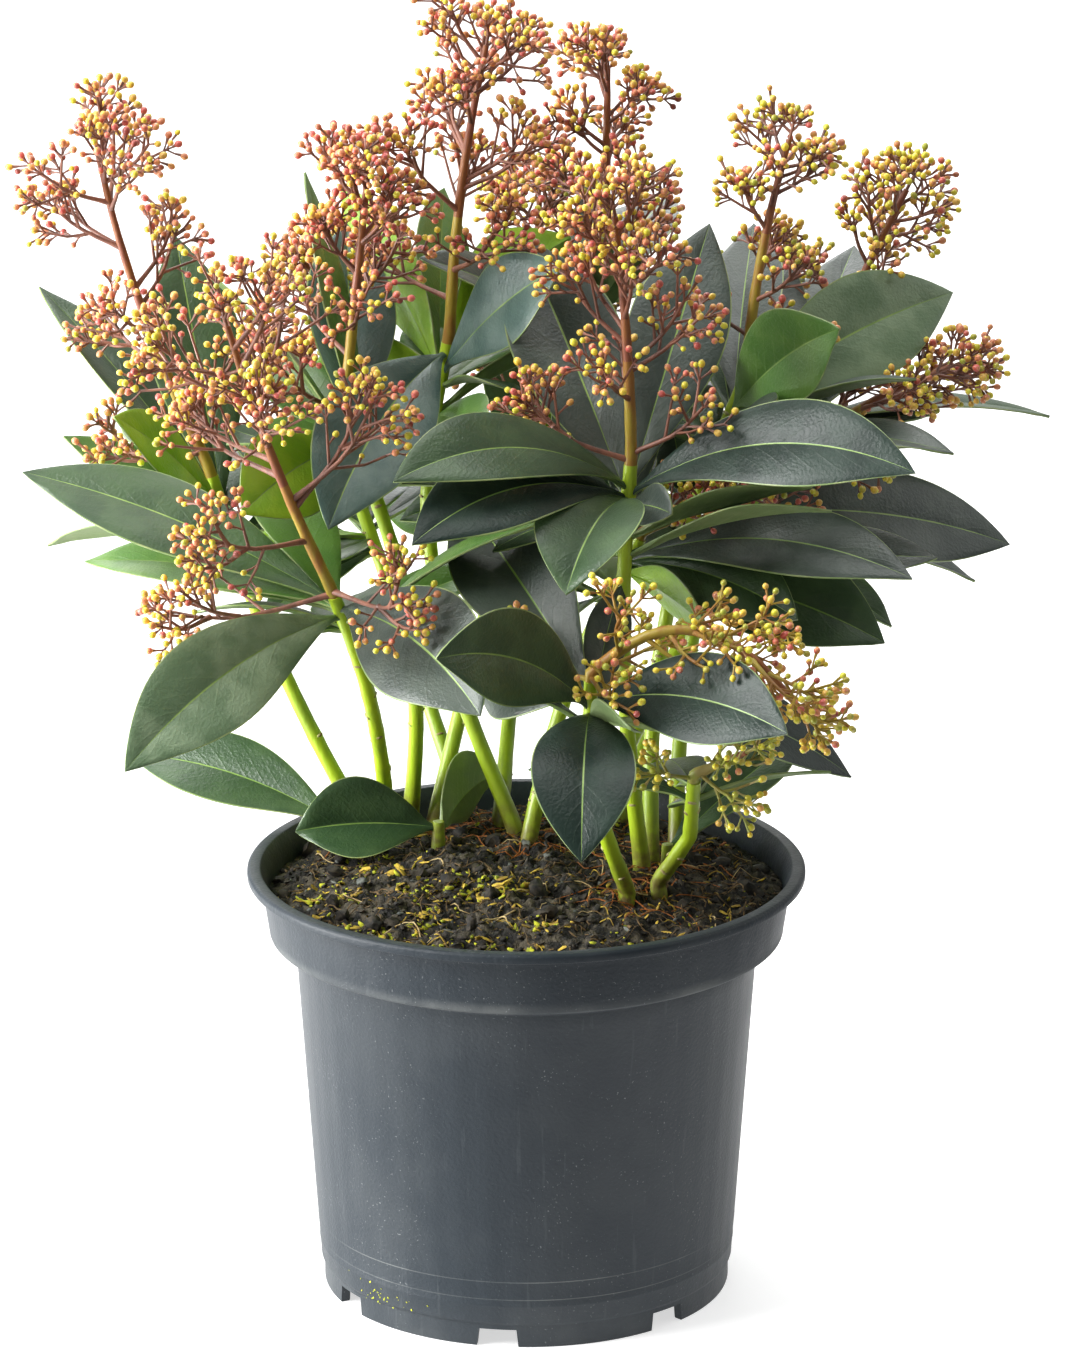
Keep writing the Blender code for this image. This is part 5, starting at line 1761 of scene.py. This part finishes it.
@dataclass(frozen=True)
class Pot:
    """Moulded pot with a collar, a notched foot ring and drain holes; sizes in mm."""

    profile: tuple[Span, ...] = (
        (0.0, 2.0), (38.6, 2.0), (41.2, 8.1), (61.6, 8.1), (69.1, 110.9), (76.6, 114.2), (78.9, 128.5),
        (81.0, 133.0), (84.2, 133.0), (85.0, 132.2), (85.0, 130.2), (80.75, 129.6), (80.45, 127.2),
        (78.5, 113.9), (78.3, 112.6), (77.4, 112.0), (71.4, 109.9), (70.8, 109.2), (70.4, 104.2),
        (70.1, 103.7), (64.35, 21.5), (64.35, 20.7), (63.8, 14.2), (63.9, 13.8), (63.85, 13.4), (63.7, 13.0),
        (63.4, 8.0), (62.4, 7.0), (62.4, 0.0), (59.4, 0.0), (59.4, 6.4), (42.6, 6.4), (40.0, 0.0), (0.0, 0.0),
    )
    sides: int = 144
    softened: float = 0.32           # width of the bevel on its edges
    notches: int = 7
    notch_turn: float = 262.0
    notch_radius: float = 60.9
    notch_size: Triple = (13.5, 14.0, 11.2)
    notch_taper: float = 0.82
    drain_circle: float = 51.0
    drain_radius: float = 4.2
    drain_height: float = 7.0

    def cutters(self) -> bmesh.types.BMesh:
        """Boxes and cylinders that cut the notches and the drain holes, in mm."""
        work = bmesh.new()
        for k in range(self.notches):
            angle = radians(self.notch_turn + 360 / self.notches * k)
            box = bmesh.ops.create_cube(work, size=1.0)["verts"]
            bmesh.ops.scale(work, vec=self.notch_size, verts=box)
            top = [vert for vert in box if vert.co.z > 0]
            bmesh.ops.scale(work, vec=(1.0, self.notch_taper, 1.0), verts=top)
            bmesh.ops.translate(work, vec=(self.notch_radius, 0, 0), verts=box)
            bmesh.ops.rotate(work, cent=(0, 0, 0), matrix=Matrix.Rotation(angle, 3, "Z"), verts=box)
            hole = bmesh.ops.create_cone(work, cap_ends=True, segments=24, radius1=self.drain_radius,
                                         radius2=self.drain_radius, depth=12.0)["verts"]
            centre = heading(self.notch_turn + 360 / self.notches * (k + 0.5), 0) * self.drain_circle
            bmesh.ops.translate(work, vec=centre + self.drain_height * UP, verts=hole)
        return work

    def shell(self) -> Object:
        """Spun wall with softened edges."""
        work = spun_shell(list(self.profile), self.sides)
        rings = [edge for edge in work.edges
                 if abs(edge.verts[0].co.z - edge.verts[1].co.z) < 1e-3
                 and edge.calc_face_angle(0.0) > radians(28)
                 and abs(edge.verts[0].co.xy.length - edge.verts[1].co.xy.length) < 1e-3]
        bmesh.ops.bevel(work, geom=rings, offset=self.softened, offset_type="OFFSET", affect="EDGES",
                        segments=2, profile=0.5, material=-1, clamp_overlap=True)
        return object_of("pot_shell", work)

    def build(self) -> None:
        """Build the pot, cut its notches and holes, and dress it."""
        pot = self.shell()
        cutters = object_of("cutters", self.cutters())
        cut = pot.modifiers.new("cut", "BOOLEAN")
        cut.operation = "DIFFERENCE"
        cut.solver = "EXACT"
        cut.object = cutters
        bpy.context.view_layer.update()
        shaped = bpy.data.meshes.new_from_object(pot.evaluated_get(bpy.context.evaluated_depsgraph_get()))
        pot.modifiers.clear()
        pot.data = shaped
        bpy.data.objects.remove(cutters)
        shaped.shade_smooth()
        shaped.set_sharp_from_angle(angle=radians(32))
        shaped.materials.clear()
        shaped.materials.append(PlasticFinish(
            "pot_plastic", (0.014, 0.021, 0.028), (0.019, 0.026, 0.033), roughness=0.46, scale=14.0,
            levels=(0.3, 0.7), relief=0.5, depth=0.0006, dust=(0.2, 0.21, 0.205)).make())
        settle(pot, "pot", "pot")


# ---- peat ----
@dataclass(frozen=True)
class Peat:
    """The body of peat in the pot, with its lumpy top; sizes in mm."""

    bottom: tuple[Span, ...] = ((76.2, 114.5), (68.7, 111.3), (61.2, 8.4), (40.8, 8.4), (38.1, 2.3),
                                (0.0, 2.3))
    rings: int = 84
    sides: int = 300

    def relief(self, x: float, y: float) -> float:
        """Height of the lumps over the smooth mound at a place."""
        place = Vector((x, y, 0.0))
        lumps = 2.6 * noise.noise(place / 12.0) - 3.8 * abs(noise.noise(place / 6.5 + 7 * UP)) + 1.2
        fine = 1.7 * noise.noise(place / 2.8 + 3 * UP) + 1.0 * noise.noise(place / 1.5)
        rim = max(0.0, hypot(x, y) - 70.0) / 8.0
        return (lumps + fine) * (1 - 0.6 * min(1.0, rim)) - 0.8 - 0.8 * rim

    def surface(self, x: float, y: float) -> Vector:
        """Point of the lumpy top at a place."""
        return Vector((x, y, soil_height(x, y) + self.relief(x, y)))

    def build(self) -> None:
        """Build the body and dress it."""
        edge = inner_radius(SOIL_EDGE) - GAP
        reaches = [edge * i / self.rings for i in range(self.rings + 1)]
        top = [(reach, soil_height(reach, 0.0)) for reach in reaches]
        work = spun_shell(top + list(self.bottom), self.sides)
        for vert in work.verts:
            if vert.co.z > SOIL_EDGE - 1.0:
                vert.co.z += self.relief(vert.co.x, vert.co.y)
        soil = object_of("peat_body", work)
        soil.data.shade_smooth()
        soil.data.materials.append(Finish(
            "peat", (0.008, 0.007, 0.005), (0.084, 0.07, 0.046), roughness=0.9, scale=260.0,
            levels=(0.44, 0.62), relief_scale=800.0, relief=1.0, depth=0.0016).make())
        settle(soil, "peat", "soil")


# Materials of what lies on the peat.
Crumb = Enum("Crumb", "DARK BROWN GREY HUSK FIBRE ROOT MOSS", start=0)


@dataclass(frozen=True)
class Litter:
    """The crumbs, husks, roots, fibres and moss on the peat; sizes in mm."""

    peat: Peat
    leaves: BVHTree                  # search tree of the leaves, which litter keeps off
    heap: Heap
    edge: float = 76.5
    fibre_edge: float = 76.0
    fibre_reach: float = 72.0
    # Places of the brightest tufts of moss and husks.
    tufts: tuple[Span, ...] = (
        (-24, -61), (-20, -18), (-7, -22), (-14, -66), (-50, -50), (-42, -57), (-50, 8), (-30, -40),
        (30, -66), (-62, -20), (4, -48), (-34, -12))
    foot_specks: int = 34
    foot_turn: float = 228.0
    foot_height: float = 7.2

    def scatter(self, kind: Crumb, count: int, sizes: Span, shape: Triple, detail: int = 1,
                tufts: bool = False) -> None:
        """Strew lumps over the peat.

        Args:
            kind: Their material.
            count: How many there are.
            sizes: Least and greatest radius.
            shape: Shares of the radius along three axes.
            detail: Subdivisions of each lump.
            tufts: Whether they gather in tufts.
        """
        rng = Random(f"litter {kind.name} {detail} {tufts}")
        for _ in range(count):
            reach = self.edge * sqrt(rng.random())
            angle = rng.uniform(0, tau)
            x, y = reach * cos(angle), reach * sin(angle)
            if tufts:
                tuft = rng.choice(self.tufts)
                x, y = tuft[0] + rng.gauss(0, 5.0), tuft[1] + rng.gauss(0, 6.0)
            if hypot(x, y) > self.edge:
                continue
            size = sizes[0] + (sizes[1] - sizes[0]) * rng.random() ** 2
            place = self.peat.surface(x, y) + size * 0.25 * UP
            if self.leaves.find_nearest(place, size + 0.4)[0] is not None:
                continue
            lump = pebble_stamp(rng.randrange(6), 0.36, detail)
            up = heading(rng.uniform(0, 360), rng.uniform(35, 90))
            extent = tuple(size * s * rng.uniform(0.8, 1.2) for s in shape)
            self.heap.add(lump, stand_at(lump, place, up, extent, rng.uniform(0, tau)), kind)

    def strew(self, kind: Crumb, feet: list[Span], count: int, lengths: Span) -> None:
        """Lay thin wavy fibres on the peat.

        Args:
            kind: Their material.
            feet: Places that they gather at, or none for all over.
            count: How many there are.
            lengths: Least and greatest length.
        """
        rng = Random(f"fibres {kind.name} {len(feet)}")
        for _ in range(count):
            if feet:
                x, y = rng.choice(feet)
                x, y = x + rng.gauss(0, 6), y + rng.gauss(0, 6)
            else:
                reach, angle = self.fibre_reach * sqrt(rng.random()), rng.uniform(0, tau)
                x, y = reach * cos(angle), reach * sin(angle)
            turn = rng.uniform(0, 360)
            length = rng.uniform(*lengths)
            line = []
            for k in range(5):
                if hypot(x, y) < self.fibre_edge:
                    line.append(self.peat.surface(x, y) + UP * rng.uniform(0.1, 1.8 if 0 < k < 4 else 0.3))
                turn += rng.uniform(-45, 45)
                x += length / 4 * cos(radians(turn))
                y += length / 4 * sin(radians(turn))
            if len(line) < 3 or any(self.leaves.find_nearest(point, 1.2)[0] is not None for point in line):
                continue
            stout = rng.uniform(0.15, 0.30)
            stamp = tube_stamp(4, 6)
            radii = [stout * (1 - 0.08 * i) for i in range(7)]
            self.heap.add(stamp, bend_along(stamp, smooth_line(line, 6), radii), kind)

    def add_foot_moss(self) -> None:
        """Put specks of moss on the pot's foot and wall."""
        rng = Random("foot moss")
        for _ in range(self.foot_specks):
            angle = radians(rng.gauss(self.foot_turn, 7))
            height = abs(rng.gauss(0, 3.0)) + self.foot_height
            out = Vector((cos(angle), sin(angle), 0.0))
            radius = 63.4 + (height - 8.0) * 0.0743
            lump = pebble_stamp(rng.randrange(6), 0.22)
            size = rng.uniform(0.10, 0.36)
            points = stand_at(lump, out * radius + UP * height, out, (size, size * 1.3, size * 0.6))
            self.heap.add(lump, points, Crumb.MOSS)

    def build(self, feet: list[Span]) -> None:
        """Lay everything down and join it to one piece.

        Args:
            feet: Places of the stems, which fibres gather at.
        """
        self.scatter(Crumb.DARK, 2200, (0.3, 1.2), (1.3, 0.8, 0.6))
        self.scatter(Crumb.DARK, 170, (1.2, 3.0), (1.1, 0.9, 0.7), detail=2)
        self.scatter(Crumb.BROWN, 1000, (0.25, 1.0), (1.6, 0.5, 0.4))
        self.scatter(Crumb.GREY, 330, (0.25, 1.0), (1.3, 0.8, 0.6))
        self.scatter(Crumb.GREY, 12, (1.4, 2.6), (1.2, 0.9, 0.6), detail=2)
        self.scatter(Crumb.HUSK, 360, (0.4, 1.6), (1.6, 0.5, 0.25))
        self.scatter(Crumb.HUSK, 250, (0.4, 1.7), (1.5, 0.7, 0.3), tufts=True)
        self.scatter(Crumb.MOSS, 160, (0.3, 0.9), (1.3, 0.7, 0.6))
        self.scatter(Crumb.MOSS, 420, (0.4, 1.3), (1.3, 0.8, 0.6), tufts=True)
        self.strew(Crumb.FIBRE, feet, 190, (9.0, 26.0))
        self.strew(Crumb.ROOT, [], 46, (6.0, 18.0))
        self.strew(Crumb.HUSK, [], 60, (4.0, 10.0))
        self.strew(Crumb.BROWN, [], 420, (3.0, 12.0))
        self.add_foot_moss()
        settle(self.heap.build("peat_litter", self.finishes(), sharp=60.0), "peat")

    def finishes(self) -> list[Material]:
        """Finishes in the order of Crumb."""
        return finishes_of((
            ("litter_dark", (0.01, 0.009, 0.007), (0.04, 0.031, 0.02)),
            ("litter_brown", (0.075, 0.048, 0.02), (0.17, 0.105, 0.042)),
            ("litter_grey", (0.07, 0.078, 0.07), (0.15, 0.158, 0.138)),
            ("litter_husk", (0.54, 0.38, 0.04), (0.3, 0.19, 0.03)),
            ("litter_fibre", (0.42, 0.13, 0.022), (0.26, 0.09, 0.02)),
            ("litter_root", (0.56, 0.43, 0.2), (0.38, 0.26, 0.11)),
            ("litter_moss", (0.47, 0.48, 0.018), (0.26, 0.29, 0.018)),
        ), roughness=0.85, scale=420.0, relief_scale=1200.0, relief=0.6)


# ---- the whole plant ----
class Plant:
    """Stems, leaves and panicles, clump by clump."""

    def __init__(self) -> None:
        """Work out the shoots and draw their leaves."""
        grown, low_grown = grow()
        self.feet = [growth.shoot.foot for growth in grown]
        self.growths = {growth.name: growth for growth in grown + low_grown}
        self.foliage = {clump: Heap() for clump in CLUMPS}
        everything = Heap()
        for clump, names in CLUMPS.items():
            for name in names:
                Foliage(self.foliage[clump]).draw(clump, self.growths[name])
            everything.join(self.foliage[clump])
        self.leaves = everything.tree()

    def build(self) -> None:
        """Build each clump's leaves, stems, buds and stalks."""
        blades, tips, limbs, barks = leaf_finishes(), bud_finishes(), stalk_finishes(), stem_finishes()
        crowd = Crowd()
        for clump, names in CLUMPS.items():
            stems, stalks, buds = Heap(), Heap(), Heap()
            shoots = []
            for growth in (self.growths[name] for name in names):
                if isinstance(growth, Growth):
                    Stems(stems).draw(growth)
                    Panicle(growth, stalks, buds, crowd, self.leaves).draw()
                    shoots.append(growth.name)
                else:
                    Stems(stems).draw_low(growth)
            side = clump.value
            foliage = self.foliage[clump].build(f"foliage_{side}", blades, 55.0)
            settle(foliage, "leaf", *("leaves_" + n for n in names))
            settle(stems.build(f"stems_{side}", barks, 60.0), "stem", *("stem_" + n for n in shoots))
            settle(buds.build(f"buds_{side}", tips), "bud", *("flowers_" + n for n in shoots))
            settle(stalks.build(f"stalks_{side}", limbs, 60.0), "stem", *("flowers_" + n for n in shoots))


# ---- studio ----
@dataclass(frozen=True)
class Lamp:
    """Square soft light that faces a point; metres and watts."""

    name: str
    place: Triple
    size: float
    power: float
    aim: Triple = (0.0, 0.0, 0.2)

    def build(self) -> None:
        """Hang the light."""
        data = bpy.data.lights.new(self.name, "AREA")
        data.size = self.size
        data.energy = self.power
        lamp = link(self.name, data)
        lamp.location = self.place
        lamp.rotation_euler = (Vector(self.aim) - Vector(self.place)).to_track_quat("-Z", "Y").to_euler()


@dataclass(frozen=True)
class Studio:
    """Floor that is pale and glows with painted light behind the pot and stays darker grey as painted shade
    in front and at the right, white surroundings, the lights and the camera; metres where not said.
    """

    lamps: tuple[Lamp, ...] = (
        Lamp("key", (-1.6, -0.45, 1.4), 1.1, 66.0),
        Lamp("fill", (1.6, 0.3, 1.1), 1.2, 5.0),
        Lamp("back", (-0.4, 1.6, 1.5), 1.5, 28.0),
        Lamp("strip", (-0.8, -0.12, 0.14), 0.45, 14.0, (0.0, -0.05, 0.08)),
        Lamp("top", (0.1, 0.2, 2.3), 1.4, 23.0),
    )
    floor_mm: Triple = (9000.0, 9000.0, 20.0)
    floor_back_mm: float = 1500.0
    front: Span = (-0.30, -0.09)     # where the floor turns from darker painted shade to pale painted glow away from the front
    side: Span = (0.30, 0.175)       # and where it does so away from the right
    painted_glow: float = 0.62
    lens_mm: float = 184.6
    camera_place: Triple = (0.0028, -2.0, 0.805)
    camera_dip: float = 17.02        # degrees

    def build_floor(self) -> None:
        """Lay the floor: pale and glowing with painted light where it is seen behind the pot, darker grey
        without glow in front and at the right, as painted shade that dims the pot's reflections.
        """
        work = bmesh.new()
        bmesh.ops.create_cube(work, size=1.0)
        bmesh.ops.scale(work, vec=self.floor_mm, verts=work.verts)
        bmesh.ops.translate(work, vec=(0.0, self.floor_back_mm, -self.floor_mm[2] / 2), verts=work.verts)
        floor = object_of("floor", work)
        paper = bpy.data.materials.new("paper")
        paper.use_nodes = True
        shader = paper.node_tree.nodes["Principled BSDF"]
        wiring = Wiring(paper.node_tree)
        place = wiring.axes()
        across_floor = wiring.maths("MULTIPLY_ADD", place["Y"], -0.1, place["X"])
        # Share of the floor that is pale and glows with painted light rather than dark grey with painted
        # shade.
        bright = wiring.times(wiring.ramp(place["Y"], *self.front), wiring.ramp(across_floor, *self.side))
        wiring.feed(wiring.blend(bright, (0.26, 0.26, 0.26), (0.62, 0.62, 0.62)), shader.inputs["Base Color"])
        shader.inputs["Roughness"].default_value = 0.95
        shader.inputs["Specular IOR Level"].default_value = 0.1
        shader.inputs["Emission Color"].default_value = (1.0, 1.0, 1.0, 1.0)
        wiring.feed(wiring.times(bright, self.painted_glow), shader.inputs["Emission Strength"])
        floor.data.materials.append(paper)

    def build_world(self) -> None:
        """Surround the plant with white that is stronger behind and at the left."""
        world = bpy.data.worlds.new("studio")
        world.use_nodes = True
        wiring = Wiring(world.node_tree)
        background = world.node_tree.nodes["Background"]
        background.inputs["Color"].default_value = (1.0, 1.0, 1.0, 1.0)
        way = wiring.axes("Generated")
        behind = wiring.maths("MULTIPLY_ADD", way["Y"], 0.30, 0.52)
        wiring.feed(wiring.maths("MULTIPLY_ADD", way["X"], -0.28, behind), background.inputs["Strength"])
        bpy.context.scene.world = world

    def build(self) -> None:
        """Set up floor, surroundings, lights and camera."""
        self.build_floor()
        self.build_world()
        for lamp in self.lamps:
            lamp.build()
        scene = bpy.context.scene
        scene.view_settings.view_transform = "Standard"
        data = bpy.data.cameras.new("camera")
        data.sensor_width = 36.0
        data.sensor_fit = "AUTO"
        data.lens = self.lens_mm
        camera = link("camera", data)
        camera.location = self.camera_place
        camera.rotation_euler = (radians(90 - self.camera_dip), 0.0, 0.0)
        scene.camera = camera


def main() -> None:
    """Build the plant, its pot and its studio."""
    logging.basicConfig(level=logging.INFO, format="%(message)s")
    plant = Plant()
    plant.build()
    peat = Peat()
    Pot().build()
    peat.build()
    Litter(peat, plant.leaves, Heap()).build(plant.feet)
    Studio().build()


if __name__ == "__main__":
    main()
